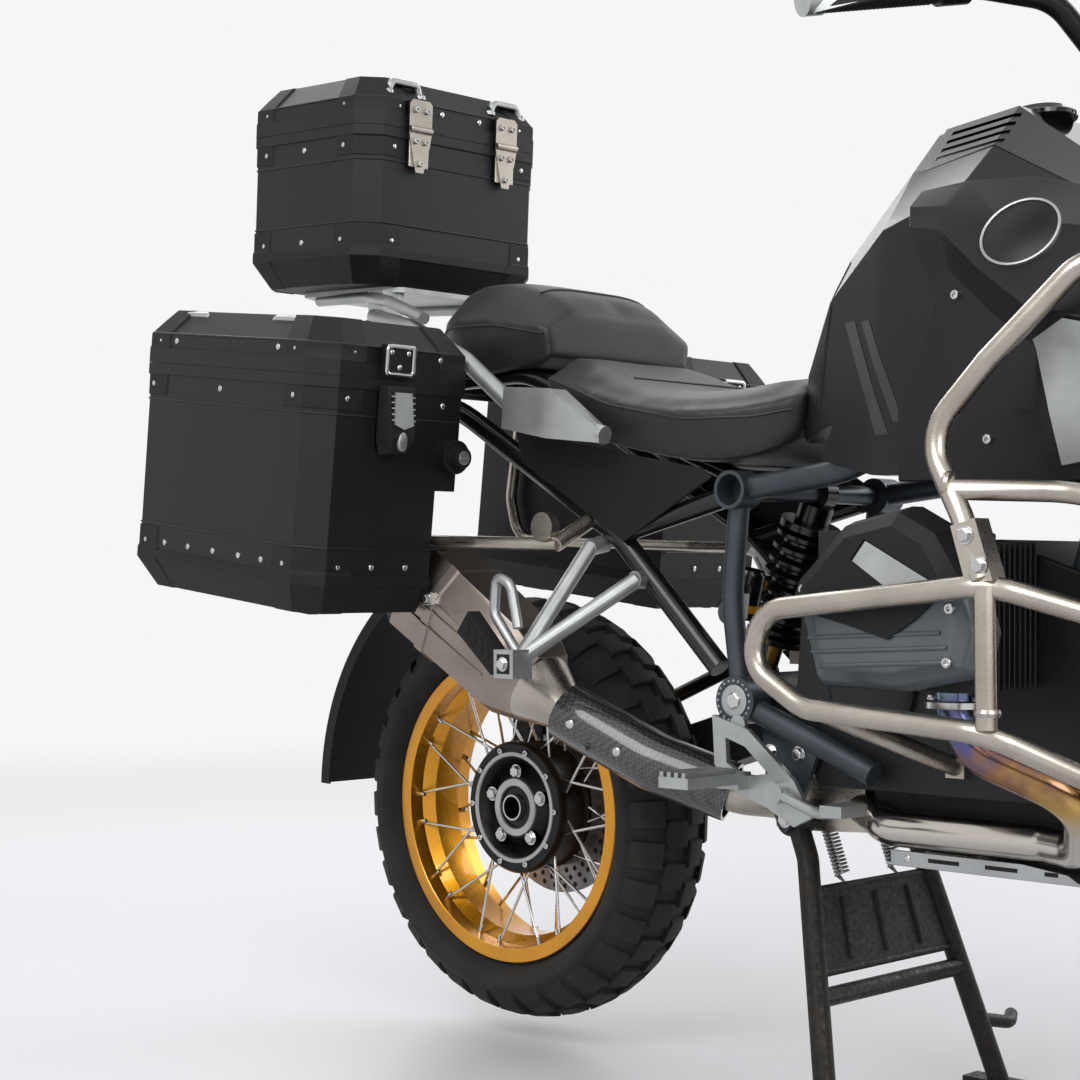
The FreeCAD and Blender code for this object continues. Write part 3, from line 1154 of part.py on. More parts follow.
def save():
    os.makedirs("parts", exist_ok=True)
    for name, shape in parts.items():
        out = shape.copy()
        out.translate(V(-mid_x, 0, 0))
        solids = out.Solids
        out = solids[0] if len(solids) == 1 else Part.makeCompound(solids)
        if not out.isValid() or not solids:
            print("check the shape of", name)
        out.exportStep("parts/" + name + ".step")


engine()
rear_wheel()
front_wheel()
main_frame()
swingarm()
rear_shock()
spray_guard()
rear_subframe()
exhaust()
skid_plate()
crash_bars()
fuel_tank()
fairing()
front_end()
seats()
rear_trim()
rack()
luggage()
foot_controls()
steering()
stands()
save()
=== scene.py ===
import json
import math
import bmesh
import bpy
import numpy as np
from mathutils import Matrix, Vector
from mathutils.bvhtree import BVHTree


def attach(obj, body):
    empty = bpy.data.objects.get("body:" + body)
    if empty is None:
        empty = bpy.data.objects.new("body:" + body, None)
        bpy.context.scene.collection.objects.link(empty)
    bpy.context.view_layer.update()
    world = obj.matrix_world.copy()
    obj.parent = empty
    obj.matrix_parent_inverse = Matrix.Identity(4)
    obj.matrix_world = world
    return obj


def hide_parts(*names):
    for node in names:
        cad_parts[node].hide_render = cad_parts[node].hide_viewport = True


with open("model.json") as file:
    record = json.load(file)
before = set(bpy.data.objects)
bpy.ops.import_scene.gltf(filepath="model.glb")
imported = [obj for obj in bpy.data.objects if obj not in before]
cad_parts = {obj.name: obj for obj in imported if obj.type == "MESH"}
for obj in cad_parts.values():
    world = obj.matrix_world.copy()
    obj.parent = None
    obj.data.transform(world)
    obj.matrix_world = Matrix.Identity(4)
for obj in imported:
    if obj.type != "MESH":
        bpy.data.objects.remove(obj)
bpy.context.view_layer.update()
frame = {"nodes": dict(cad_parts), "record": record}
print("stage: frame loaded,", len(frame["nodes"]), "nodes")

# shapes below are in mm: x ahead of the rear axle, y to the left, z up from the floor
midX = 663.0  # the frame's origin, ahead of that axle
rearHub, frontHub = (0, 345), (1504, 325)  # ahead and up
steeringLean = {"place": (1458.1, 305.1), "pitch": -23.5}  # where the leaned steering's own frame stands
bothSides = (-1, 1)  # right and left as signs of y


def linearColour(code):
    # sRGB hex to linear: c / 12.92 below 0.04045, otherwise ((c + 0.055) / 1.055) to the power 2.4
    parts = np.array([int(code[i:i + 2], 16) / 255 for i in (1, 3, 5)])
    parts = np.where(parts <= 0.04045, parts / 12.92, ((parts + 0.055) / 1.055) ** 2.4)
    return (*[float(p) for p in parts], 1.0)


def addNode(tree, kind, links=None, sockets=None, **settings):
    # one node with its settings, its socket values and the links that come into it
    node = tree.nodes.new(kind)
    for name, value in settings.items():
        setattr(node, name, value)
    for name, value in (sockets or {}).items():
        node.inputs[name].default_value = value
    for name, output in (links or {}).items():
        tree.links.new(output, node.inputs[name])
    return node


def startMaterial(name, colour, metallic, roughness, **sockets):
    # a shader with its uniform values, and the piece's own coordinates in metres
    material = bpy.data.materials.new(name)
    material.use_nodes = True
    tree = material.node_tree
    tree.nodes.clear()
    out = tree.nodes.new("ShaderNodeOutputMaterial")
    values = {"Base Color": linearColour(colour), "Metallic": metallic, "Roughness": roughness}
    values.update({key.replace("_", " "): value for key, value in sockets.items()})
    shader = addNode(tree, "ShaderNodeBsdfPrincipled", sockets=values)
    tree.links.new(shader.outputs["BSDF"], out.inputs["Surface"])
    place = addNode(tree, "ShaderNodeTexCoord").outputs["Object"]
    return material, tree, shader, place


def noiseOf(tree, place, scale, detail, **sockets):
    # noise of so many cells a metre, with the given octaves
    values = {"Scale": scale, "Detail": detail, **sockets}
    return addNode(tree, "ShaderNodeTexNoise", {"Vector": place}, values).outputs["Fac"]


def colourFrom(tree, shader, value, stops):
    # the base colour is the value's place on a ramp of stops, each a place from 0 to 1 and an sRGB hex value
    ramp = addNode(tree, "ShaderNodeValToRGB", {"Fac": value})
    marks = ramp.color_ramp.elements
    while len(marks) < len(stops):
        marks.new(0.5)
    for mark, (at, code) in zip(marks, stops):
        mark.position = at
        mark.color = linearColour(code)
    tree.links.new(ramp.outputs["Color"], shader.inputs["Base Color"])


def roughnessFrom(tree, shader, value, low, high, start=0.0, end=1.0):
    # roughness = low + (high - low) * (value - start) / (end - start)
    drift = addNode(tree, "ShaderNodeMapRange", {"Value": value},
                    {"From Min": start, "From Max": end, "To Min": low, "To Max": high})
    tree.links.new(drift.outputs["Result"], shader.inputs["Roughness"])


def bumpFrom(tree, shader, value, strength, height):
    # the surface rises by value * height, in metres, at the given strength
    bump = addNode(tree, "ShaderNodeBump", {"Height": value}, {"Strength": strength, "Distance": height})
    tree.links.new(bump.outputs["Normal"], shader.inputs["Normal"])


def grainedMaterial(name, light, dark, metallic, roughness, patch, grain, height, stretch=(1, 1, 1)):
    # colour runs from dark to light with a broad noise of the patch size; roughness drifts over its range and
    # the surface rises by the height with a fine noise of the grain size, all in metres
    material, tree, shader, place = startMaterial(name, light, metallic, roughness[0])
    stretched = addNode(tree, "ShaderNodeMapping", {"Vector": place}, {"Scale": stretch}).outputs["Vector"]
    colourFrom(tree, shader, noiseOf(tree, place, 1 / patch, 3.0), ((0.3, dark), (0.7, light)))
    fine = noiseOf(tree, stretched, 1 / grain, 4.0)
    roughnessFrom(tree, shader, fine, *roughness, start=0.3, end=0.7)
    bumpFrom(tree, shader, fine, 0.6, height)
    return material


# Finishes: light and dark sRGB, metallic, roughness range, patch and grain size and height in metres.
# Grain under 2 mm doesn't show at this distance, so it is drawn at 2 to 4 mm where the finish needs it.
finishes = {
    # satin powder coat on aluminium sheet: even, dark, soft wide highlights
    "powderCoatBlack": ("#101011", "#0c0c0d", 0.0, (0.40, 0.50), 0.25, 0.0022, 0.00006),
    # the same coat, smoother on the pressed corners, and lighter: a painted highlight on the cut corners and
    # rolled strips of the cases
    "powderCoatPaintedHighlight": ("#1b1b1d", "#161618", 0.0, (0.34, 0.44), 0.12, 0.0022, 0.00005),
    # moulded nylon corner guards: matt with a fine spark-eroded grain
    "mouldedNylon": ("#0d0d0e", "#090909", 0.0, (0.50, 0.66), 0.10, 0.0020, 0.00012),
    # grained polypropylene of mudguards and hidden covers: dull and greyer
    "grainedPolypropylene": ("#101011", "#0b0b0c", 0.0, (0.55, 0.72), 0.12, 0.0024, 0.00016),
    # matt paint over plastic panels: deep black with a blurred sheen
    "mattBlackPaint": ("#0e0f11", "#0a0b0d", 0.0, (0.34, 0.40), 0.40, 0.0030, 0.00002),
    # dark grey stripe lacquer laid on the matt paint
    "greyStripeLacquer": ("#27292c", "#222427", 0.0, (0.22, 0.26), 0.40, 0.0030, 0.00002),
    # metallic grey frame paint: cool, slightly flaky
    "greyFramePaint": ("#454b51", "#3a4046", 0.55, (0.34, 0.42), 0.08, 0.0020, 0.00003),
    # black frame paint, glossy powder coat
    "glossPowderBlack": ("#121213", "#0d0d0e", 0.0, (0.16, 0.24), 0.20, 0.0040, 0.00004),
    # sand-cast engine metal with dark paint: rough and pitted
    "darkCasting": ("#1d1f21", "#141617", 0.35, (0.42, 0.60), 0.06, 0.0026, 0.00022),
    # die-cast cover paint: smooth grey-green metallic
    "coverPaint": ("#60666a", "#545a5d", 0.55, (0.36, 0.44), 0.10, 0.0020, 0.00004),
    # fine-cast aluminium with clear lacquer
    "silverCasting": ("#b4b6b6", "#9fa1a1", 0.85, (0.36, 0.46), 0.05, 0.0020, 0.00008),
    # natural aluminium sheet, tumbled and washed
    "bareAluminium": ("#b9bbbc", "#a3a5a6", 0.95, (0.38, 0.50), 0.08, 0.0024, 0.00006),
    # anodised fork parts: black with a metallic glow
    "blackAnodised": ("#1c1c1e", "#161618", 0.60, (0.30, 0.38), 0.10, 0.0024, 0.00003),
    # gold anodised rim: warm, saturated, softly mirrored
    "goldAnodised": ("#d9961a", "#c58312", 0.90, (0.26, 0.34), 0.10, 0.0024, 0.00002),
    # ground brake steel
    "groundSteel": ("#8f9091", "#7d7e7f", 1.0, (0.28, 0.40), 0.03, 0.0020, 0.00004),
    # zinc and chrome plated small parts
    "platedSteel": ("#c9c9c8", "#b9b9b8", 1.0, (0.16, 0.24), 0.05, 0.0030, 0.00002),
    # polished stainless tail ring
    "polishedStainless": ("#c4beb6", "#b2aca4", 1.0, (0.12, 0.22), 0.06, 0.0040, 0.00003),
    # moulded rubber of grips and pads
    "mouldedRubber": ("#0e0e0e", "#0a0a0a", 0.0, (0.62, 0.78), 0.05, 0.0024, 0.00015),
    # yellow plastic of the damper's adjuster, white translucent plastic of the brake fluid's pot
    "amberPlastic": ("#c9921c", "#b8830f", 0.0, (0.30, 0.38), 0.05, 0.0024, 0.00002),
    "whiteReservoir": ("#cfd0cc", "#c2c3bf", 0.0, (0.34, 0.42), 0.05, 0.0024, 0.00002),
    # paint worn by road dirt on the stand
    "wornStandPaint": ("#241f19", "#0c0b0b", 0.15, (0.34, 0.72), 0.035, 0.0060, 0.00020),
    # lens plastics of lamps and the display: dark, amber and red, smooth
    "darkLens": ("#0c0d0f", "#08090a", 0.0, (0.05, 0.08), 0.30, 0.0100, 0.0),
    "amberLens": ("#b4560c", "#a04a08", 0.0, (0.10, 0.14), 0.05, 0.0100, 0.0),
    "redLens": ("#8e1210", "#7c0e0c", 0.0, (0.08, 0.12), 0.05, 0.0100, 0.0),
    # gloss black upper covers: clear-coated plastic
    "glossBlackCover": ("#0e0e10", "#0a0a0c", 0.0, (0.10, 0.14), 0.30, 0.0060, 0.0),
}
finish = {name: grainedMaterial(name, *values) for name, values in finishes.items()}


def shaderOf(name):
    return next(node for node in finish[name].node_tree.nodes if node.type == "BSDF_PRINCIPLED")


# pigment and texture swallow part of the mirror light on matt black finishes
for name in ("powderCoatBlack", "powderCoatPaintedHighlight", "mouldedNylon", "grainedPolypropylene", "mattBlackPaint",
             "mouldedRubber", "wornStandPaint"):
    shaderOf(name).inputs["Specular IOR Level"].default_value = 0.32
# a clear layer over the colour
for name in ("glossBlackCover", "goldAnodised", "darkLens"):
    shaderOf(name).inputs["Coat Weight"].default_value = 0.6
    shaderOf(name).inputs["Coat Roughness"].default_value = 0.06


def brushedMaterial(name, light, dark, roughness):
    # noise stretched to 0.03 of its scale along x: thin lines 1.5 mm across and 60 mm long
    return grainedMaterial(name, light, dark, 1.0, roughness, 0.08, 0.0018, 0.00003, stretch=(0.03, 1, 1))


def carbonMaterial():
    # twill of the shield's fibres: light and dark tows in turn, seen through a clear coat
    settings = {"tow": 0.0045, "light": "#3b3c3f", "dark": "#0d0d0e", "turn": (0, 0.62, 0.5)}
    material, tree, shader, place = startMaterial("carbonTwill", settings["dark"], 0.0, 0.3,
                                                  Coat_Weight=1.0, Coat_Roughness=0.05)
    laid = addNode(tree, "ShaderNodeMapping", {"Vector": place}, {"Rotation": settings["turn"]})
    tows = addNode(tree, "ShaderNodeTexChecker", {"Vector": laid.outputs["Vector"]},
                   {"Scale": 1 / settings["tow"]})
    colourFrom(tree, shader, tows.outputs["Fac"], ((0.2, settings["dark"]), (0.8, settings["light"])))
    return material


def heatTintMaterial():
    # steam colours along the pipe's bend: straw, bronze, violet and blue by height * noise + a base share
    settings = {"height": (0.40, 0.56), "drift": 0.045, "base": 0.22}
    material, tree, shader, place = startMaterial("heatTintedStainless", "#c4beb6", 1.0, 0.2)
    split = addNode(tree, "ShaderNodeSeparateXYZ", {"Vector": place})
    noise = noiseOf(tree, place, 1 / settings["drift"], 3.0)
    level = addNode(tree, "ShaderNodeMapRange", {"Value": split.outputs["Z"]},
                    {"From Min": settings["height"][0], "From Max": settings["height"][1]})
    mixed = addNode(tree, "ShaderNodeMath", {0: level.outputs["Result"], 1: noise}, {2: settings["base"]},
                    operation="MULTIPLY_ADD")
    colourFrom(tree, shader, mixed.outputs["Value"],
               ((0.22, "#c4beb6"), (0.34, "#bb9a5c"), (0.46, "#8e6a4e"), (0.58, "#5b5a86"), (0.8, "#6b7f8e")))
    return material


def vinylMaterial():
    # seat vinyl: voronoi cells of an embossed leather grain, 3 mm wide so that they show
    settings = {"cell": 0.0032, "groove": 0.12, "height": 0.00022}
    material, tree, shader, place = startMaterial("seatVinyl", "#0e0e0f", 0.0, 0.46, Sheen_Weight=0.08)
    cells = addNode(tree, "ShaderNodeTexVoronoi", {"Vector": place}, {"Scale": 1 / settings["cell"]},
                    feature="DISTANCE_TO_EDGE")
    dip = addNode(tree, "ShaderNodeMapRange", {"Value": cells.outputs["Distance"]},
                  {"From Max": settings["groove"]})
    bumpFrom(tree, shader, dip.outputs["Result"], 0.35, settings["height"])
    roughnessFrom(tree, shader, noiseOf(tree, place, 9.0, 3.0), 0.38, 0.54)
    return material


def tyreMaterial():
    # carbon-black rubber: dull, with dust in the low spots and a fine moulding texture
    settings = {"dust": "#232220", "rubber": "#0f0f0f", "grain": 0.003, "height": 0.0002}
    material, tree, shader, place = startMaterial("tyreRubber", settings["rubber"], 0.0, 0.78)
    dust = noiseOf(tree, place, 14.0, 6.0, Roughness=0.65)
    colourFrom(tree, shader, dust, ((0.45, settings["rubber"]), (0.75, settings["dust"])))
    bumpFrom(tree, shader, noiseOf(tree, place, 1 / settings["grain"], 3.0), 0.5, settings["height"])
    return material


# electropolished stainless tubes: warm silver, brushed along their length
finish["brushedStainless"] = brushedMaterial("brushedStainless", "#b9b2a8", "#a39c92", (0.24, 0.36))
# titanium-coloured silencer skin, brushed along the can
finish["brushedTitanium"] = brushedMaterial("brushedTitanium", "#9b9188", "#8a8078", (0.30, 0.40))
finish["carbonTwill"] = carbonMaterial()
finish["heatTintedStainless"] = heatTintMaterial()
finish["seatVinyl"] = vinylMaterial()
finish["tyreRubber"] = tyreMaterial()
# hard-coated polycarbonate: clear with a faint smoke tint
finish["clearPolycarbonate"] = startMaterial("clearPolycarbonate", "#c9ced2", 0.0, 0.04,
                                             Transmission_Weight=0.92, IOR=1.58)[0]
# silvered glass behind the mirror housing's rim
finish["silveredGlass"] = startMaterial("silveredGlass", "#dfe3e6", 1.0, 0.03)[0]
print("stage: finishes made,", len(finish))


def gridFaces(rows, columns, closeRows=False, closeColumns=False):
    # quads between neighbours of a grid whose point (i, j) has number i * columns + j
    i = np.arange(rows if closeRows else rows - 1)
    j = np.arange(columns if closeColumns else columns - 1)
    a, b = np.meshgrid(i, j, indexing="ij")
    c, d = (a + 1) % rows, (b + 1) % columns
    return np.stack([a * columns + b, c * columns + b, c * columns + d, a * columns + d], -1).reshape(-1, 4)


def endFaces(rows, columns):
    # the first row and the last as one face each, both turned outwards
    return [list(range(columns))[::-1], list(range((rows - 1) * columns, rows * columns))]


def tubeLine(points, bend):
    # straight runs joined by tangent arcs: an arc at a corner begins bend * tan(turn / 2) before it, and has a
    # point for every nine degrees
    at = np.array(points, float)
    line = [at[:1]]
    for before, here, after in zip(at[:-2], at[1:-1], at[2:]):
        back, on = before - here, after - here
        lengths = np.linalg.norm(back), np.linalg.norm(on)
        back, on = back / lengths[0], on / lengths[1]
        turn = math.pi - math.acos(float(np.clip(back @ on, -1, 1)))
        if turn < 0.02:
            line.append(here[None])
            continue
        reach = min(bend * math.tan(turn / 2), 0.45 * min(lengths))
        radius = reach / math.tan(turn / 2)
        middle = (back + on) / np.linalg.norm(back + on)
        centre = here + middle * radius / math.cos(turn / 2)
        start, end = here + back * reach - centre, here + on * reach - centre
        share = np.linspace(0, 1, max(3, int(math.degrees(turn) / 9) + 2))[:, None]
        arc = (np.sin((1 - share) * turn) * start + np.sin(share * turn) * end) / math.sin(turn)
        line.append(centre + arc)
    line.append(at[-1:])
    return np.concatenate(line)


def crossFrames(line):
    # two unit directions square to the line at each point, each frame turned as little as can be from the last
    along = np.gradient(line, axis=0)
    along /= np.linalg.norm(along, axis=1, keepdims=True)
    first = np.cross(along[0], (0, 0, 1) if abs(along[0][2]) < 0.9 else (1, 0, 0))
    frames = [first / np.linalg.norm(first)]
    for t in along[1:]:
        side = frames[-1] - t * (frames[-1] @ t)
        frames.append(side / np.linalg.norm(side))
    across = np.array(frames)
    return across, np.cross(along, across)


def sweep(line, rings, sides=20):
    # a round section carried along a line: centre + ring radius * (cos a * across + sin a * up)
    across, up = crossFrames(line)
    angle = np.linspace(0, 2 * math.pi, sides, endpoint=False)
    radius = np.broadcast_to(np.asarray(rings, float), len(line))[:, None, None]
    circle = np.cos(angle)[None, :, None] * across[:, None] + np.sin(angle)[None, :, None] * up[:, None]
    points = line[:, None] + radius * circle
    faces = gridFaces(len(line), sides, closeColumns=True)[:, ::-1].tolist()
    faces += [face[::-1] for face in endFaces(len(line), sides)]
    return points.reshape(-1, 3), faces


def roundTube(points, radius, bend=0.05, sides=20):
    # a bent tube whose end rings are 0.8 of its radius, a fifth of its radius before the first full one
    line = tubeLine(points, bend)
    ends = (line[1] - line[0]), (line[-2] - line[-1])
    inner = [at + way / np.linalg.norm(way) * radius * 0.2 for at, way in zip((line[0], line[-1]), ends)]
    line = np.concatenate([line[:1], [inner[0]], line[1:-1], [inner[1]], line[-1:]])
    rings = np.full(len(line), float(radius))
    rings[[0, -1]] *= 0.8
    return sweep(line, rings, sides)


def turned(profile, centre, axis, sides=32, phase=0.0, closed=False):
    # a profile of (way along, radius) pairs turned about an axis through the centre; a closed one makes a ring
    axis = np.array(axis, float) / np.linalg.norm(axis)
    side = np.cross(axis, (0, 0, 1) if abs(axis[2]) < 0.9 else (1, 0, 0))
    side /= np.linalg.norm(side)
    up = np.cross(axis, side)
    way, radius = np.array(profile, float).T
    angle = np.linspace(0, 2 * math.pi, sides, endpoint=False) + phase
    circle = np.cos(angle)[:, None] * side + np.sin(angle)[:, None] * up
    points = np.array(centre) + way[:, None, None] * axis + radius[:, None, None] * circle[None]
    faces = gridFaces(len(way), sides, closeRows=closed, closeColumns=True).tolist()
    return points.reshape(-1, 3), faces + ([] if closed else endFaces(len(way), sides))


def slab(outline, low, high, lift):
    # an outline of (u, v) points given thickness from low to high, and placed by lift of its (u, v, w) rows
    flat = np.array(outline, float)
    count = len(flat)
    both = np.concatenate([np.column_stack([flat, np.full(count, level)]) for level in (low, high)])
    faces = [[i, (i + 1) % count, (i + 1) % count + count, i + count] for i in range(count)]
    return lift(both), faces + endFaces(2, count)


def skinThrough(sections):
    # a grid through closed outlines, all with the same number of points, and flat at its two ends
    stack = np.array(sections, float)
    rows, columns = stack.shape[:2]
    faces = gridFaces(rows, columns, closeColumns=True).tolist()
    return stack.reshape(-1, 3), faces + endFaces(rows, columns)


def box(low, high):
    # a plain block between two corners
    low, high = np.array(low, float), np.array(high, float)
    corners = np.array([[i, j, k] for i in (0, 1) for j in (0, 1) for k in (0, 1)])
    faces = [[0, 1, 3, 2], [4, 6, 7, 5], [0, 4, 5, 1], [2, 3, 7, 6], [0, 2, 6, 4], [1, 5, 7, 3]]
    return low + corners * (high - low), faces


def dome(place, axis, radius, height, sides=12):
    # a round rivet head
    r, h = radius, height
    profile = [(0, r), (h * 0.45, r * 0.94), (h * 0.8, r * 0.66), (h, r * 0.2)]
    return turned(profile, place, axis, sides)


def rivetRow(places, axis, radius=4.6):
    return [dome(place, axis, radius, 2.3) for place in places]


def hexBolt(place, axis, radius=7.0, phase=0.3):
    # a washer with a six-sided head on it
    r = radius
    washer = turned([(0, r * 1.3), (r * 0.22, r * 1.3), (r * 0.22, r)], place, axis, 20)
    return [washer, turned([(r * 0.15, r), (r * 0.75, r), (r * 0.85, r * 0.86)], place, axis, 6, phase)]


def socketBolt(place, axis, radius=6.0):
    # a cylinder head with its socket sunk in
    r = radius
    profile = [(0, r), (r * 0.75, r), (r * 0.9, r * 0.86), (r * 0.9, r * 0.5), (r * 0.3, r * 0.46)]
    return turned(profile, place, axis, 18)


def around(centre, radius, count, first=0.0):
    # places on an upright circle about the centre, evenly spaced from the first angle, with their angles
    angles = [math.radians(first + 360 / count * i) for i in range(count)]
    return [(np.array(centre) + (radius * math.cos(a), 0, radius * math.sin(a)), a) for a in angles]


def repeated(shape, places, frames=None):
    # copies of one small shape: point + place, or point @ frame + place
    points, faces = shape
    if frames is None:
        frames = np.broadcast_to(np.eye(3), (len(places), 3, 3))
    copies = np.einsum("nk,pkj->pnj", points, np.asarray(frames)) + np.asarray(places)[:, None]
    count = len(points)
    many = [[v + count * i for v in face] for i in range(len(places)) for face in faces]
    return copies.reshape(-1, 3), many


def mirroredShape(shape, signs=(1, -1, 1)):
    # one coordinate changes its sign, and each face runs the other way round
    points, faces = shape
    return points * signs, [list(face)[::-1] for face in faces]


def inFrame(lean, *shapes):
    # a leaned frame's shapes laid on the motorcycle: (x cos + z sin, y, z cos - x sin) plus the place
    c, s = math.cos(math.radians(lean["pitch"])), math.sin(math.radians(lean["pitch"]))
    spin = np.array([[c, 0, -s], [0, 1, 0], [s, 0, c]])
    return [(points @ spin + (lean["place"][0], 0, lean["place"][1]), faces) for points, faces in shapes]


def localIn(lean, points):
    # from the motorcycle back into a leaned frame, less the place first: (x cos - z sin, y, x sin + z cos)
    c, s = math.cos(math.radians(lean["pitch"])), math.sin(math.radians(lean["pitch"]))
    x, z = points[:, 0] - lean["place"][0], points[:, 2] - lean["place"][1]
    return np.column_stack([x * c - z * s, points[:, 1], x * s + z * c])


def nodeBody(node):
    # the body whose member list holds the CAD node
    return next(body for body, members in frame["record"]["behaviour"]["bodies"].items() if node in members)


def linked(name, mesh):
    piece = bpy.data.objects.new(name, mesh)
    bpy.context.scene.collection.objects.link(piece)
    return piece


def roundEdges(piece, width, angle):
    # edges sharper than the angle, in degrees, become two-step rounds of the width, in metres
    rounding = piece.modifiers.new("roundedEdges", "BEVEL")
    rounding.width, rounding.segments, rounding.limit_method = width, 2, "ANGLE"
    rounding.angle_limit = math.radians(angle)
    rounding.harden_normals = True


def makePiece(name, shapes, material, node, bevel=None, sharp=32, instead=False):
    # shapes in mm, or lists of them, join into one mesh in the frame, in metres: (point - midX) / 1000. It is
    # smooth except where faces meet at more than the sharp angle. The piece rides on the body that the CAD
    # node belongs to, and where instead is set it stands for that node
    points, faces, base = [], [], 0
    for shape in (one for group in shapes for one in (group if isinstance(group, list) else [group])):
        points.append(shape[0])
        faces += [[v + base for v in face] for face in shape[1]]
        base += len(shape[0])
    mesh = bpy.data.meshes.new(name)
    mesh.from_pydata(((np.concatenate(points) - (midX, 0, 0)) / 1000).tolist(), [], faces)
    mesh.validate()
    loose = bmesh.new()
    loose.from_mesh(mesh)
    bmesh.ops.recalc_face_normals(loose, faces=loose.faces)
    loose.to_mesh(mesh)
    loose.free()
    mesh.shade_smooth()
    mesh.set_sharp_from_angle(angle=math.radians(sharp))
    mesh.materials.append(finish[material])
    piece = linked(name, mesh)
    if bevel:
        roundEdges(piece, bevel / 1000, sharp)
    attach(piece, nodeBody(node))
    if instead:
        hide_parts(node)


def meshFromNode(node, name, flat=None):
    # the CAD node's triangles with their double corners joined and, where flat is given, faces that meet at
    # less than that angle in degrees merged
    source = frame["nodes"][node].data
    points = np.empty(len(source.vertices) * 3, np.float32)
    source.vertices.foreach_get("co", points)
    loops = np.empty(len(source.loops), np.int32)
    source.loops.foreach_get("vertex_index", loops)
    mesh = bpy.data.meshes.new(name)
    mesh.from_pydata(points.reshape(-1, 3).tolist(), [], loops.reshape(-1, 3).tolist())
    joined = bmesh.new()
    joined.from_mesh(mesh)
    bmesh.ops.remove_doubles(joined, verts=joined.verts, dist=0.00002)
    if flat:
        bmesh.ops.dissolve_limit(joined, angle_limit=math.radians(flat), verts=joined.verts, edges=joined.edges)
    joined.to_mesh(mesh)
    joined.free()
    return mesh


def refined(node, material, edge, sharp):
    # a merged copy of the CAD node: flat areas joined, edges rounded by the edge width, curves shaded smooth
    mesh = meshFromNode(node, node + "Refined", 0.6)
    mesh.shade_smooth()
    mesh.set_sharp_from_angle(angle=math.radians(sharp))
    mesh.materials.append(finish[material])
    piece = linked(node + "Dressed", mesh)
    if edge:
        roundEdges(piece, edge, sharp + 4)
    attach(piece, nodeBody(node))
    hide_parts(node)
    return piece


# CAD nodes whose own shape stays, each with its finish, the width of its eased edges in metres and its
# smoothing angle; the tyres, rims and seats get shapes of their own further down
dressedNodes = {
    "head_guards": ("mouldedNylon", 0.001, 24), "tank_cover": ("glossBlackCover", 0.0015, 24),
    "shroud_panels": ("silverCasting", 0.001, 24), "engine_block": ("darkCasting", 0.004, 30),
    "cylinders": ("darkCasting", 0.0012, 30), "head_covers": ("coverPaint", 0.005, 20),
    "swingarm": ("darkCasting", 0.005, 40), "torque_arm": ("blackAnodised", 0.0012, 30),
    "rear_shock": ("glossPowderBlack", 0.0006, 24), "rear_hub": ("blackAnodised", 0, 40),
    "front_hub": ("blackAnodised", 0, 40), "rear_brake_disc": ("groundSteel", 0, 40),
    "front_brake_discs": ("groundSteel", 0, 40), "spray_guard": ("grainedPolypropylene", 0.001, 30),
    "main_frame": ("greyFramePaint", 0.0008, 34), "rear_subframe": ("glossPowderBlack", 0.0008, 34),
    "exhaust_pipes": ("heatTintedStainless", 0, 34), "silencer": ("brushedTitanium", 0.0025, 20),
    "exhaust_shield": ("carbonTwill", 0.0008, 34), "skid_plate": ("bareAluminium", 0.0012, 30),
    "crash_bars": ("brushedStainless", 0, 40), "fuel_tank": ("mattBlackPaint", 0.012, 24),
    "side_shrouds": ("mattBlackPaint", 0.0016, 20), "radiators": ("darkCasting", 0.0012, 30),
    "beak": ("mattBlackPaint", 0.0015, 24), "windscreen": ("clearPolycarbonate", 0, 50),
    "headlight": ("darkLens", 0.003, 24), "dashboard": ("darkLens", 0.004, 30),
    "under_seat_covers": ("grainedPolypropylene", 0.001, 30), "grab_rails": ("silverCasting", 0.002, 34),
    "tail_unit": ("grainedPolypropylene", 0.002, 30), "tail_lamps": ("redLens", 0.001, 40),
    "luggage_rack": ("silverCasting", 0.0015, 34), "pannier_rails": ("brushedStainless", 0, 40),
    "pannier_right": ("powderCoatBlack", 0.0022, 30), "pannier_left": ("powderCoatBlack", 0.0022, 30),
    "pannier_right_lid": ("powderCoatBlack", 0.0022, 30), "pannier_left_lid": ("powderCoatBlack", 0.0022, 30),
    "topcase": ("powderCoatBlack", 0.0022, 30), "topcase_lid": ("powderCoatBlack", 0.0022, 30),
    "case_latches": ("mouldedNylon", 0.002, 30), "footpegs": ("silverCasting", 0.0012, 30),
    "passenger_pegs": ("silverCasting", 0.0035, 34), "fork": ("blackAnodised", 0.0015, 34),
    "handlebar": ("blackAnodised", 0.0012, 34), "hand_levers": ("bareAluminium", 0.0008, 34),
    "hand_guards": ("grainedPolypropylene", 0.002, 30), "mirrors": ("mouldedNylon", 0.002, 30),
    "front_mudguard": ("mattBlackPaint", 0.001, 30), "front_calipers": ("blackAnodised", 0.003, 30),
    "telelever": ("darkCasting", 0.002, 34), "front_shock": ("glossPowderBlack", 0.0006, 24),
    "centre_stand": ("wornStandPaint", 0.0012, 34), "side_stand": ("wornStandPaint", 0.0012, 34),
}
dressed = {node: refined(node, *values) for node, values in dressedNodes.items()}
print("stage: CAD nodes dressed,", len(dressedNodes))

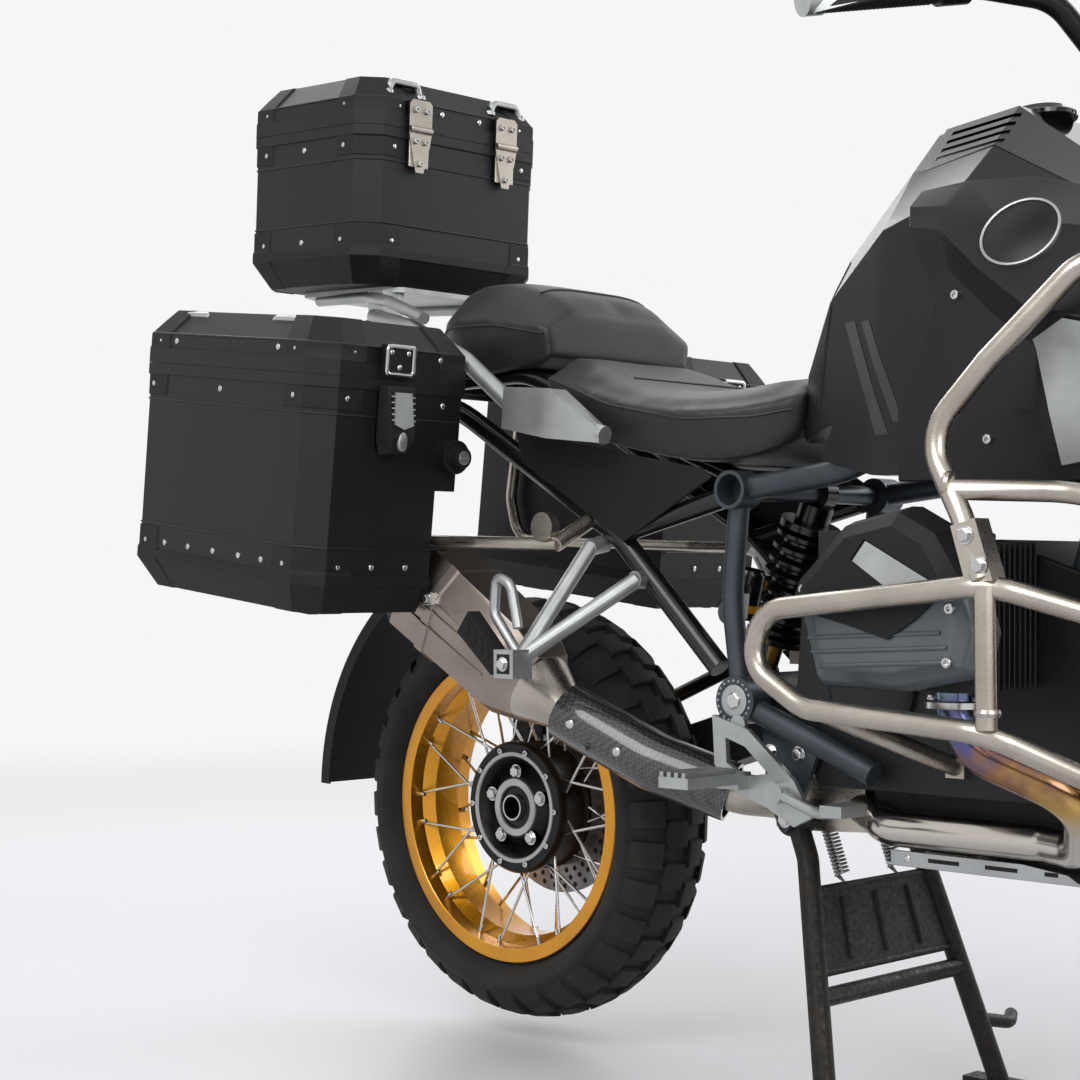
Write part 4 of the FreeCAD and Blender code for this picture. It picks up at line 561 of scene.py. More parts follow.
# the two kinds of case, each in its own frame: z = 0 at the seam under the lid
pannier = {"place": (-124, 988), "pitch": 6.5, "half": 212.5, "inner": 227, "outer": 485, "chamfer": 33,
           "depth": 325, "lid": 78, "guardRun": 44, "knob": (36, 20, -100), "feet": ((-130, 130), (300, 420))}
topcase = {"place": (-315, 1393), "pitch": 3.0, "halfX": 152.5, "halfY": 190, "chamfer": 33, "depth": 240,
           "lid": 78, "guardRun": 40, "hinges": (("Right", -92), ("Left", 92)),
           "lowerLeaf": ((-23, -3), (23, -3), (20, -22), (8, -66), (-8, -66), (-20, -22)),
           "upperLeaf": ((-23, 4), (23, 4), (23, 40), (17, 46), (-17, 46), (-23, 40))}
# height from the seam and how far the guard stands off the wall: lid guard, upper and lower body guards
lidGuardRows = ((1.5, 2.9), (22, 2.9), (24, 2.0), (42, 2.0), (60, -11.0), (78.4, -25.5), (79.2, -29.0))
upperGuardRows = ((-46, 1.4), (-17, 1.5), (-15.5, 2.9), (-0.8, 2.9))
rivetHeights = {"lid": 33, "upper": -30, "lower": 66}  # the lower row counts from the case's foot
stripHeights = {"lid": 43, "upper": -52, "lower": 92}
stripRadius, stripLift = 1.6, 0.2  # the rolled strips' wire, and how far its middle stands off the wall
latch = {"bars": ((-24, 46), (24, 46), (24, 8), (-24, 8), (-24, 45)), "rivets": ((-15, 38), (15, 38), (0, 18)),
         "slider": ((-15, -16), (15, -16), (17, -60), (0, -66), (-17, -60)), "lock": (22.8, -83), "ribs": 5}


def lowerGuardRows(depth):
    return ((-depth - 1, -22.0), (-depth + 40, 2.8), (-depth + 56, 2.9), (-depth + 58, 1.6), (-depth + 88, 1.6))


def cornerGuard(corner, middle, half, rows):
    # a guard bent round a cut corner: the corner's four plan points grown from the case's middle by each
    # row's stand-off, with an inner skin one wall behind: middle + (corner - middle) * (half + by) / half
    corner, middle, half = (np.array(v, float) for v in (corner, middle, half))
    wall, sections = 4.0, []
    for z, by in rows:
        outer = middle + (corner - middle) * (half + by) / half
        inner = middle + (corner - middle) * (half + by - wall) / half
        ring = np.concatenate([outer, inner[::-1]])
        sections.append(np.column_stack([ring, np.full(len(ring), z)]))
    return skinThrough(sections)


def cutCorner(x, y, chamfer, run):
    # plan points of a cut corner: along one wall, the two ends of the cut, along the other wall
    sx, sy = math.copysign(1, x), math.copysign(1, y)
    return [(x, y - sy * (chamfer + run)), (x, y - sy * chamfer), (x - sx * chamfer, y),
            (x - sx * (chamfer + run), y)]


def cableEye(x, y, z, alongY):
    # a cast lashing eye: a bent bar on two feet
    span, rise = 33.0, 17.0
    arch = roundTube([(-span, 0, -3), (-span + 7, 0, rise), (span - 7, 0, rise), (span, 0, -3)], 5.6, 10, 14)
    feet = [turned([(-3, 9.5), (2, 9.0), (4, 6.5)], (dx, 0, 0), (0, 0, 1), 18) for dx in (-span, span)]
    order = [1, 0, 2] if alongY else [0, 1, 2]
    return [(points[:, order] + (x, y, z), faces) for points, faces in [arch] + feet]


def latchParts(face, middle):
    # frame bars round the hook plate, a bright slider and an oval lock cap on the toggle, facing +x; the
    # slider leans out by a seventh of its way down
    bars = roundTube([(face + 8.5, middle + y, z) for y, z in latch["bars"]], 3.2, 6, 10)
    rivets = rivetRow([(face + 7, middle + y, z) for y, z in latch["rivets"]], (1, 0, 0), 4.0)
    slope = lambda p: np.column_stack([face + 17.2 + p[:, 2] + (-8 - p[:, 1]) / 7.0, middle + p[:, 0], p[:, 1]])
    slider = slab(latch["slider"], 0, 2.4, slope)
    cap, capFaces = turned([(0, 11), (3.2, 10.4), (4.4, 8.2), (4.6, 0.6)], (0, 0, 0), (1, 0, 0), 28)
    cap = cap * (1, 0.8, 1.25) + (face + latch["lock"][0], middle, latch["lock"][1])
    ribs = []
    for i in range(latch["ribs"]):
        x, z = face + 20.0 + i * 1.15, -22 - 8 * i
        ribs.append(roundTube([(x, middle - 21, z), (x, middle + 21, z)], 1.2, 1, 8))
    return [bars] + rivets, [slider, (cap, capFaces)] + ribs


def pannierPieces(side):
    name, p = ("Right" if side < 0 else "Left"), pannier

    def put(label, shapes, material, node="", **settings):
        shapes = inFrame(p, *shapes)
        if side < 0:
            shapes = [mirroredShape(shape) for shape in shapes]
        makePiece("pannier" + name + label, shapes, material, "pannier_" + name.lower() + node, **settings)

    half, inner, outer, low, c = p["half"], p["inner"], p["outer"], -p["depth"], p["chamfer"]
    middle, spread = (0, (inner + outer) / 2), (half, (outer - inner) / 2)
    outerCorners = [cutCorner(sx * half, outer, c, p["guardRun"]) for sx in (-1, 1)]
    innerCorners = [[(sx * half, inner + 46), (sx * half, inner + 2), (sx * (half - 2), inner),
                     (sx * (half - 40), inner)] for sx in (-1, 1)]
    guards = lambda rows, where: [cornerGuard(corner, middle, spread, rows) for corner in where]
    put("LidGuards", guards(lidGuardRows, outerCorners + innerCorners), "mouldedNylon", "_lid", bevel=1.2)
    put("BodyGuards", guards(upperGuardRows, outerCorners) + guards(lowerGuardRows(p["depth"]), outerCorners),
        "mouldedNylon", bevel=1.2)
    lidZ, highZ, lowZ = rivetHeights["lid"], rivetHeights["upper"], low + rivetHeights["lower"]
    put("LidRivets", rivetRow([(x, outer, lidZ) for x in (-158, -120, 118, 156)], (0, 1, 0)) +
        rivetRow([(half, y, lidZ) for y in (430, 272)], (1, 0, 0)), "platedSteel", "_lid")
    wide = [(x, outer, highZ) for x in (-170, -8, 158)]
    wide += [(x, outer, lowZ) for x in (-166, -118, -60, 0, 60, 112, 160)]
    ahead = [(half, y, lowZ) for y in (432, 372, 310)] + [(half, y, highZ) for y in (436, 262)]
    behind = [(-half, y, lowZ) for y in (432, 372, 310)]
    put("BodyRivets", rivetRow(wide, (0, 1, 0)) + rivetRow(ahead, (1, 0, 0)) + rivetRow(behind, (-1, 0, 0)),
        "platedSteel")

    def strip(z):
        # the rolled strip round the three outer walls
        wallX, wallY = half + stripLift, outer + stripLift
        run = [(wallX, inner + 8), (wallX, outer - c + 1), (half - c + 1, wallY)]
        return roundTube([(x, y, z) for x, y in run + [(-x, y) for x, y in reversed(run)]], stripRadius, 4, 8)

    # the rolled strips carry the lighter coat, a painted highlight along them
    put("LidStrip", [strip(stripHeights["lid"])], "powderCoatPaintedHighlight", "_lid")
    put("WallStrips", [strip(stripHeights["upper"]), strip(low + stripHeights["lower"])], "powderCoatPaintedHighlight")
    eyes = [part for x in (-108, 100) for part in cableEye(x, outer - 27, p["lid"] - 23, False)]
    put("Eyes", eyes, "silverCasting", "_lid")
    bars, bright = latchParts(half + 3.2, (inner + outer) / 2)
    put("LatchFrame", bars, "platedSteel", "_lid")
    put("LatchSlider", bright, "silverCasting")
    xs, ys = p["feet"]
    put("Feet", [box((x - 26, y - 10, low - 6), (x + 26, y + 10, low + 1)) for x in xs for y in ys],
        "mouldedRubber", bevel=2.0)
    x, y, z = half + p["knob"][0], inner + p["knob"][1], p["knob"][2]
    face = turned([(0, 10), (1.2, 10), (1.6, 8.6), (1.6, 1)], (x, y, z), (1, 0, 0), 28)
    put("KnobFace", [face, roundTube([(x + 1.5, y - 8, z), (x + 1.5, y + 8, z)], 1.6, 1, 8)], "silverCasting")


pannierPieces(-1)
pannierPieces(1)


def topcasePieces():
    t = topcase
    hx, hy, low, c = t["halfX"], t["halfY"], -t["depth"], t["chamfer"]

    def put(label, shapes, material, node="topcase", **settings):
        makePiece("topcase" + label, inFrame(t, *shapes), material, node, **settings)

    corners = [cutCorner(sx * hx, sy * hy, c, t["guardRun"]) for sx in (-1, 1) for sy in (-1, 1)]
    guards = lambda rows: [cornerGuard(corner, (0, 0), (hx, hy), rows) for corner in corners]
    put("LidGuards", guards(lidGuardRows), "mouldedNylon", "topcase_lid", bevel=1.2)
    put("BodyGuards", guards(upperGuardRows) + guards(lowerGuardRows(t["depth"])), "mouldedNylon", bevel=1.2)
    lidZ, heights = rivetHeights["lid"], (rivetHeights["upper"], low + rivetHeights["lower"])
    lidRivets, bodyRivets = [], []
    for s in (-1, 1):
        lidRivets += rivetRow([(x, s * hy, lidZ) for x in (-96, 96)], (0, s, 0))
        lidRivets += rivetRow([(s * hx, y, lidZ) for y in (-128, -40, 40, 128)], (s, 0, 0))
        bodyRivets += rivetRow([(x, s * hy, z) for x in (-96, 0, 96) for z in heights], (0, s, 0))
        bodyRivets += rivetRow([(s * hx, y, z) for y in (-136, 136) for z in heights], (s, 0, 0))
    put("LidRivets", lidRivets, "platedSteel", "topcase_lid")
    put("BodyRivets", bodyRivets, "platedSteel")
    eyeX, eyeZ = hx - 14, t["lid"] - 23
    eyes = [part for x in (eyeX, -eyeX) for y in (-108, 108) for part in cableEye(x, y, eyeZ, True)]
    put("Eyes", eyes, "silverCasting", "topcase_lid")

    def strip(z):
        # the rolled strip round all four walls: x * (hx + lift) / hx, y * (hy + lift) / hy
        run = ((0, -hy), (hx - c, -hy), (hx, -hy + c), (hx, 0), (hx, hy - c), (hx - c, hy), (0, hy),
               (-hx + c, hy), (-hx, hy - c), (-hx, 0), (-hx, -hy + c), (-hx + c, -hy), (-1, -hy))
        grown = [(x * (hx + stripLift) / hx, y * (hy + stripLift) / hy, z) for x, y in run]
        return sweep(np.array(grown), stripRadius, 8)

    # the rolled strips carry the lighter coat, a painted highlight along them
    put("LidStrip", [strip(stripHeights["lid"])], "powderCoatPaintedHighlight", "topcase_lid")
    put("WallStrips", [strip(stripHeights["upper"]), strip(low + stripHeights["lower"])], "powderCoatPaintedHighlight")
    # hinge leaves on the front wall: a pointed lower leaf, a square upper one, the barrel and its bolts
    for label, y in t["hinges"]:
        lift = lambda p: np.column_stack([hx + 8.2 + p[:, 2], y + p[:, 0], p[:, 1]])
        lower, upper = slab(t["lowerLeaf"], 0, 2.4, lift), slab(t["upperLeaf"], 0, 2.4, lift)
        barrel = roundTube([(hx + 11, y - 22, 0), (hx + 11, y + 22, 0)], 5.5, 1, 18)
        bolts = lambda places: [socketBolt((hx + 10.6, y + dy, z), (1, 0, 0), 5.0) for dy, z in places]
        put("HingeLower" + label, [lower, barrel], "brushedStainless", bevel=0.5)
        put("HingeUpper" + label, [upper], "brushedStainless", "topcase_lid", bevel=0.5)
        put("HingeBolts" + label, bolts(((0, -52), (-10, -18), (10, -18))), "platedSteel")
        put("HingeLidBolts" + label, bolts(((-11, 30), (11, 30))), "platedSteel", "topcase_lid")
    bars, bright = ([mirroredShape(shape, (-1, 1, 1)) for shape in part] for part in latchParts(hx + 3.2, 0))
    put("LatchFrame", bars, "platedSteel", "topcase_lid")
    put("LatchSlider", bright, "silverCasting")


topcasePieces()
print("stage: cases")

# the wheels: hub's place, radii and half widths. Tread: rows with their offset in pitches, the crown's edge
# as shares of the half width, the block's share of a pitch, and in mm the depth, taper and ribs of the sidewall
tyres = {
    "rear_tyre": {"hub": rearHub, "radius": 318.0, "half": 85.0, "bead": 216.0, "rim": 57.0, "pitches": 32},
    "front_tyre": {"hub": frontHub, "radius": 319.0, "half": 60.0, "bead": 241.3, "rim": 38.0, "pitches": 34},
}
treadForm = {"rows": (("shoulder", 0.0), ("centre", 0.5)), "edge": 0.86, "edgeDrop": 0.36, "block": 0.60,
             "depth": 8.5, "taper": 1.6, "rib": 0.8, "aboveBead": 17.0}
spokes = {"count": 20, "lean": 21, "stagger": 0.25}  # a side, in degrees, in shares of their spacing
rims = {"rear_rim": {"hub": rearHub, "bead": 216.0, "half": 57.0, "inset": 13, "nippleRadius": 213},
        "front_rim": {"hub": frontHub, "bead": 241.3, "half": 38.0, "inset": 6, "nippleRadius": 238}}


def camel(node):
    # rear_tyre becomes rearTyre
    first, *rest = node.split("_")
    return first + "".join(word.title() for word in rest)


def blockTyre(node, t):
    # carcass: a crown arc, then sidewalls whose half width follows a parabola through edge, belly and bead;
    # blocks stand proud of it in staggered rows, mirrored with a quarter pitch between the sides
    half, radius, depth = t["half"], t["radius"], treadForm["depth"]
    edgeY, edgeR = half * treadForm["edge"], radius - half * treadForm["edgeDrop"]
    drop = radius - edgeR
    crown = (edgeY ** 2 + drop ** 2) / (2 * drop)
    tread = lambda y: radius - crown + np.sqrt(crown ** 2 - np.asarray(y, float) ** 2)
    clear = t["bead"] + treadForm["aboveBead"]
    ways = np.linspace(0, 1, 12)
    bend = 2 * (edgeY + t["rim"] - 2 * half)
    wallY = np.minimum(edgeY + (t["rim"] - edgeY - bend) * ways + bend * ways ** 2, half - treadForm["rib"])
    wallR = (edgeR - 10) + (clear - edgeR + 10) * ways
    ribs = ((ways > 0.26) & (ways < 0.36)) | ((ways > 0.72) & (ways < 0.82))
    wallY = wallY + np.where(ribs, treadForm["rib"], 0)
    crownY = np.linspace(0, edgeY * 0.95, 10)
    right = [(y, r - depth) for y, r in zip(crownY, tread(crownY))] + list(zip(wallY, wallR))
    right += [(t["rim"] - 0.6, clear - 3), (t["rim"] - 0.6, t["bead"] + 0.6)]
    profile = [(-y, r) for y, r in right[::-1]] + right[1:]
    centre = np.array([t["hub"][0], 0, t["hub"][1]], float)
    ring = turned(profile, centre, (0, 1, 0), 160, closed=True)
    lipY, lipR = edgeY + 3, edgeR - 24
    step = 2 * math.pi / t["pitches"]
    wide = treadForm["block"] * step * radius

    def lug(top, sunk, taper):
        # a block between its top line and its foot line, both (y, radius), wider at its foot by the taper
        top, foot = np.array(top, float), np.array(sunk, float)
        rows = [np.column_stack([np.full(len(line), x), line]) for line, x in (
            (foot, -wide / 2 - taper), (top, -wide / 2), (top, wide / 2), (foot, wide / 2 + taper))]
        return skinThrough(np.stack(rows, 1))

    lines = {}
    ys = np.linspace(0.5 * half, 0.80 * half, 4)
    lines["shoulder"] = (
        list(zip(ys, tread(ys) - 0.4)) + [(edgeY * 1.02, edgeR - 4), (lipY + 3.4, lipR + 5)],
        list(zip(ys, tread(ys) - depth - 3)) + [(edgeY * 0.92, edgeR - 13), (lipY - 7, lipR + 3)])
    ys = np.linspace(0.045 * half, 0.42 * half, 4)
    lines["centre"] = (list(zip(ys, tread(ys) - 0.3)), list(zip(ys, tread(ys) - depth - 3)))
    shapes = []
    for row, offset in treadForm["rows"]:
        block = lug(*lines[row], treadForm["taper"])
        for side in bothSides:
            one = block if side > 0 else mirroredShape(block)
            angles = (np.arange(t["pitches"]) + offset + 0.25 * side) * step
            c, s, o = np.cos(angles), np.sin(angles), np.zeros(len(angles))
            spin = [np.stack(axes, -1) for axes in ((c, o, -s), (o, o + 1, o), (s, o, c))]
            shapes.append(repeated(one, np.tile(centre, (len(angles), 1)), np.stack(spin, 1)))
    makePiece(camel(node) + "Carcass", [ring], "tyreRubber", node, sharp=50, instead=True)
    makePiece(camel(node) + "Blocks", shapes, "tyreRubber", node, bevel=1.3, sharp=34)


def deepRim(node, r):
    # the rim's section with eased corners, turned about the axle, and a nipple for each of its forty spokes
    bead, half = r["bead"], r["half"]
    lip, out, well, slope = bead + 15, half + 6, half * 0.38, half * 0.62
    upper = [(-out + 1.5, lip), (-half - 1.5, lip), (-half, lip - 1.5), (-half, bead + 1), (-half + 2, bead),
             (-slope, bead - 2), (-well, bead - 16)]
    lower = [(-well * 1.1, bead - 22), (-slope * 1.1, bead - 8), (-out * 0.9, bead - 7), (-out + 1, bead - 6.4),
             (-out, bead - 5), (-out, lip - 1.5)]
    profile = upper + [(-y, way) for y, way in upper[::-1]] + [(-y, way) for y, way in lower[::-1]] + lower
    centre = (r["hub"][0], 0, r["hub"][1])
    band = turned(profile, centre, (0, 1, 0), 144, closed=True)
    makePiece(camel(node) + "Band", [band], "goldAnodised", node, sharp=34, instead=True)
    nipples = []
    for side in bothSides:
        for i in range(spokes["count"]):
            lean = spokes["lean"] if i % 2 else -spokes["lean"]
            angle = math.radians(360 / spokes["count"] * (i + spokes["stagger"] * side) + lean)
            out = np.array([math.cos(angle), 0, math.sin(angle)])
            place = np.array(centre) + out * (r["nippleRadius"] - 16) + (0, side * (half - r["inset"]), 0)
            nipples.append(turned([(0, 2.6), (2, 3.4), (14, 3.6), (18, 3.6)], place, out, 8))
    makePiece(camel(node) + "Nipples", nipples, "platedSteel", node)


def discHoleShades(name, hub, faces, radii, count, node):
    # dark plugs as painted shade in the drillings: short plugs that stand a little out of both faces of a disc,
    # in staggered rings
    radius, proud, plugs = 4.2, 0.12, []
    for y0, y1 in faces:
        plug = turned([(0, radius), (y1 - y0 + 2 * proud, radius)], (0, 0, 0), (0, 1, 0), 12)
        for k, r in enumerate(radii):
            ring = around((hub[0], y0 - proud, hub[1]), r, count, 360 * k / len(radii) / count)
            plugs.append(repeated(plug, [place for place, _ in ring]))
    makePiece(name, plugs, "mouldedNylon", node)


def hubTrim():
    # the rear hub's right side has a bolt ring, two bright rings, the hollow axle's liner and small screws;
    # the front axle has its caps, and the front discs their screws
    out, hub = (0, -1, 0), np.array([rearHub[0], 0, rearHub[1]], float)
    bolts = [hexBolt(place, out, 8.5, a) for place, a in around(hub + (0, -34, 0), 54, 5, 18)]
    makePiece("rearHubBolts", bolts, "platedSteel", "rear_hub", bevel=0.4)
    lips = [turned([(0, 84), (1.6, 83.4), (1.6, 78), (0, 77)], hub + (0, -40, 0), out, 96, closed=True),
            turned([(0, 44), (2.2, 43), (2.2, 33), (0, 32)], hub + (0, -36, 0), out, 72, closed=True)]
    makePiece("rearHubRings", lips, "silverCasting", "rear_hub")
    profile = [(0, 19.4), (10, 19.4), (10, 17), (-20, 17), (-20, 19.4)]
    liner = turned(profile, hub + (0, -34.5, 0), out, 48, closed=True)
    makePiece("rearAxleLiner", [liner], "platedSteel", "swingarm")
    small = [socketBolt(place, out, 4.6) for place, _ in around(hub + (0, -40, 0), 88, 10)]
    makePiece("rearHubScrews", small, "platedSteel", "rear_hub")
    front, caps, screws = np.array([frontHub[0], 0, frontHub[1]], float), [], []
    for s in bothSides:
        profile = [(0, 20), (6, 20), (8, 17), (8, 11), (2, 10)]
        caps.append(turned(profile, front + (0, s * 127, 0), (0, s, 0), 28))
        ring = around(front + (0, s * 72.6, 0), 52, 5, 36)
        screws += [socketBolt(place, (0, s, 0), 5.2) for place, _ in ring]
    makePiece("frontAxleCaps", caps, "platedSteel", "fork")
    makePiece("frontDiscScrews", screws, "platedSteel", "front_brake_discs")


for node, sizes in tyres.items():
    blockTyre(node, sizes)
for node, sizes in rims.items():
    deepRim(node, sizes)
# the discs' drillings as dark plugs: painted shade where the holes are
discHoleShades("rearDiscHoleShade", rearHub, ((56, 61),), (104, 116, 128), 36, "rear_brake_disc")
discHoleShades("frontDiscHoleShade", frontHub, ((67.5, 72.5), (-72.5, -67.5)), (126, 135, 144), 40, "front_brake_discs")
hubTrim()
print("stage: wheels")


def between(a, b, count):
    return np.linspace(np.array(a, float), np.array(b, float), count)


def cast(tree, starts, toward, raised=0.0):
    # where rays from the starts meet the surface: point + raised * normal, in mm, missed rays left out
    points, normals = [], []
    for start in starts:
        at = Vector((np.array(start, float) - (midX, 0, 0)) / 1000)
        point, normal, *_ = tree.ray_cast(at, Vector(toward))
        if point is not None:
            normal = normal if normal.dot(Vector(toward)) < 0 else -normal
            points.append(np.array(point) * 1000 + (midX, 0, 0) + np.array(normal) * raised)
            normals.append(np.array(normal))
    return np.array(points), np.array(normals)


def lineOn(tree, starts, toward, radius, raised=None, passes=2):
    # a bead that follows the surface under the rays; each pass eases it: (before + 2 * here + after) / 4
    line, _ = cast(tree, starts, toward, radius * 0.1 if raised is None else raised)
    for _ in range(passes):
        line[1:-1] = (line[:-2] + 2 * line[1:-1] + line[2:]) / 4
    return sweep(line, radius, 8)


def decal(tree, corners, toward, lift=0.7, count=(24, 4)):
    # a thin closed skin over the surface inside four corners, its outer side lifted and its inner side sunk
    sunk = 0.8
    a, b, c, d = (np.array(p, float) for p in corners)
    sections = []
    for u in np.linspace(0, 1, count[0]):
        row = between(a + (b - a) * u, d + (c - d) * u, count[1])
        outer, _ = cast(tree, row, toward, lift)
        inner, _ = cast(tree, row, toward, -sunk)
        if len(outer) == count[1] and len(inner) == count[1]:
            sections.append(np.concatenate([outer, inner[::-1]]))
    return skinThrough(sections)


def seated(tree, start, toward, build):
    # small shapes built at the point and along the normal that a ray finds, or none where it misses
    points, normals = cast(tree, [start], toward)
    if not len(points):
        return []
    made = build(points[0], normals[0])
    return made if isinstance(made, list) else [made]


def onSides(tree, places, far, build):
    # what build(point, normal, side) makes under rays from both sides at each (x, z), which start far out
    return [seated(tree, (x, side * far, z), (0, -side, 0), lambda p, n: build(p, n, side))
            for side in bothSides for x, z in places]


# the seats, in metres, and their seams in mm: along both sides by stations and heights, and across
seats = {"rider_seat": {"voxel": 0.0055, "shrink": 0.002, "cap": 0.007, "smooth": 14},
         "passenger_seat": {"voxel": 0.0055, "shrink": 0.002, "cap": 0.008, "smooth": 12}}
seatSeams = {
    "rider_seat": {"along": (205, 600, 60), "stations": (196, 330, 465, 560, 618),
                   "heights": (974, 926, 900, 900, 912), "above": 1200, "across": ((318, 118, 36),)},
    "passenger_seat": {"along": (-66, 176, 40), "stations": (-78, -20, 90, 186),
                       "heights": (1052, 1062, 1056, 1036), "above": 1300,
                       "across": ((128, 110, 36), (-30, 96, 30))}}
swelling = {"pressure": 4.0, "frames": 20, "passes": 12, "baseShare": 0.1}


def applied(piece):
    # the piece's modifiers turned into its mesh
    graph = bpy.context.evaluated_depsgraph_get()
    mesh = bpy.data.meshes.new_from_object(piece.evaluated_get(graph))
    piece.modifiers.clear()
    piece.data = mesh
    return mesh


def vertexArray(mesh, normals=False):
    flat = np.empty(len(mesh.vertices) * 3, np.float32)
    if normals:
        mesh.vertex_normals.foreach_get("vector", flat)
    else:
        mesh.vertices.foreach_get("co", flat)
    return flat.reshape(-1, 3).copy()


def paddedSeat(node, s):
    # the CAD cushion remeshed, eased, drawn in and blown up again by cloth pressure; its flat base stays
    mesh = meshFromNode(node, camel(node))
    piece = linked(camel(node), mesh)
    remesh = piece.modifiers.new("remesh", "REMESH")
    remesh.mode, remesh.voxel_size = "VOXEL", s["voxel"]
    ease = piece.modifiers.new("ease", "SMOOTH")
    ease.factor, ease.iterations = 0.6, s["smooth"]
    mesh = applied(piece)
    start, normals = vertexArray(mesh), vertexArray(mesh, normals=True)
    base = normals[:, 2] < -0.6
    start = start - normals * s["shrink"] * np.where(base, 0.2, 1)[:, None]
    mesh.vertices.foreach_set("co", start.ravel())
    mesh.update()
    cloth = piece.modifiers.new("padding", "CLOTH")
    cloth.settings.use_pressure, cloth.settings.uniform_pressure_force = True, swelling["pressure"]
    cloth.settings.quality = 4
    cloth.settings.effector_weights.gravity = 0.0
    cloth.point_cache.frame_start, cloth.point_cache.frame_end = 1, swelling["frames"]
    for moment in range(1, swelling["frames"] + 1):
        bpy.context.scene.frame_set(moment)
    graph = bpy.context.evaluated_depsgraph_get()
    swollen = piece.evaluated_get(graph).to_mesh()
    move = vertexArray(swollen) - start
    piece.evaluated_get(graph).to_mesh_clear()
    piece.modifiers.clear()
    bpy.context.scene.frame_set(1)
    # foam behind the cover lets it rise but not fall in: the way out along the normal counts, up to the cap
    rise = np.clip(np.einsum("ij,ij->i", move, normals), 0, s["cap"])
    rise = rise * np.where(base, swelling["baseShare"], 1)
    edges = np.empty(len(mesh.edges) * 2, np.int32)
    mesh.edges.foreach_get("vertices", edges)
    a, b = edges.reshape(-1, 2).T
    near, count = np.bincount(edges, minlength=len(rise)), len(rise)
    for _ in range(swelling["passes"]):
        total = np.bincount(a, rise[b], count) + np.bincount(b, rise[a], count)
        rise = 0.4 * rise + 0.6 * total / np.maximum(near, 1)
    mesh.vertices.foreach_set("co", (start + normals * rise[:, None]).astype(np.float32).ravel())
    mesh.update()
    print("stage: seat cloth,", node, "rose up to", round(float(rise.max()) * 1000, 1), "mm")
    mesh.materials.clear()
    mesh.materials.append(finish["seatVinyl"])
    mesh.shade_smooth()
    subdivision = piece.modifiers.new("smoothed", "SUBSURF")
    subdivision.levels = subdivision.render_levels = 1
    applied(piece).shade_smooth()
    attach(piece, nodeBody(node))
    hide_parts(node)
    return piece


cushions = {node: paddedSeat(node, sizes) for node, sizes in seats.items()}
for node, s in seatSeams.items():
    tree = BVHTree.FromObject(cushions[node], bpy.context.evaluated_depsgraph_get())
    stations = np.linspace(*s["along"])
    heights = np.interp(stations, s["stations"], s["heights"])
    rays = [([(x, side * 300, z) for x, z in zip(stations, heights)], (0, -side, 0)) for side in bothSides]
    rays += [([(x, y, s["above"]) for y in np.linspace(-reach, reach, count)], (0, 0, -1))
             for x, reach, count in s["across"]]
    seams = [lineOn(tree, starts, toward, 1.7, raised=0.9, passes=3) for starts, toward in rays]
    makePiece(camel(node) + "Seams", seams, "seatVinyl", node)
print("stage: seats")


def looseSizes(mesh):
    # each face's loose part: labels spread along edges to their lowest vertex, then the part's box size in mm
    count = len(mesh.vertices)
    points, edges = vertexArray(mesh), np.empty(len(mesh.edges) * 2, np.int32)
    mesh.edges.foreach_get("vertices", edges)
    a, b = edges.reshape(-1, 2).T
    label = np.arange(count)
    while True:
        before = label.copy()
        low = np.minimum(label[a], label[b])
        np.minimum.at(label, a, low)
        np.minimum.at(label, b, low)
        label = label[label]
        if np.array_equal(before, label):
            break
    lows, highs = np.full((count, 3), np.inf), np.full((count, 3), -np.inf)
    np.minimum.at(lows, label, points)
    np.maximum.at(highs, label, points)
    first = np.array([face.vertices[0] for face in mesh.polygons])
    return (highs[label[first]] - lows[label[first]]) * 1000


def paintFaces(node, finishName, test, sizes=False):
    # another finish on a CAD node's faces where test(centres in mm, normals, part sizes) is true
    mesh = dressed[node].data
    count = len(mesh.polygons)
    centres, normals = np.empty(count * 3, np.float32), np.empty(count * 3, np.float32)
    mesh.polygons.foreach_get("center", centres)
    mesh.polygons.foreach_get("normal", normals)
    centres = centres.reshape(-1, 3) * 1000 + (midX, 0, 0)
    chosen = test(centres, normals.reshape(-1, 3), looseSizes(mesh) if sizes else None)
    mesh.materials.append(finish[finishName])
    index = np.zeros(count, np.int32)
    mesh.polygons.foreach_get("material_index", index)
    index[chosen] = len(mesh.materials) - 1
    mesh.polygons.foreach_set("material_index", index)


# paint by region on CAD nodes that keep their shape; the pressed cut corners of the cases get a lighter coat as
# a painted highlight
footOf = lambda case: -case["depth"] + 55  # how far the nylon tray reaches up
cutFace = lambda n: (np.abs(n[:, 0]) > 0.35) & (np.abs(n[:, 1]) > 0.35)
upright = lambda n: np.abs(n[:, 2]) < 0.5
directionIn = lambda lean, n: localIn(lean, n + (lean["place"][0], 0, lean["place"][1]))
offAxis = lambda c, hub: np.hypot(c[:, 0] - hub[0], c[:, 2] - hub[1])
aside = lambda c: np.abs(c[:, 1])
upFork = lambda c: localIn(steeringLean, c)[:, 2]
offLeg = lambda c: np.abs(aside(c) - 107)
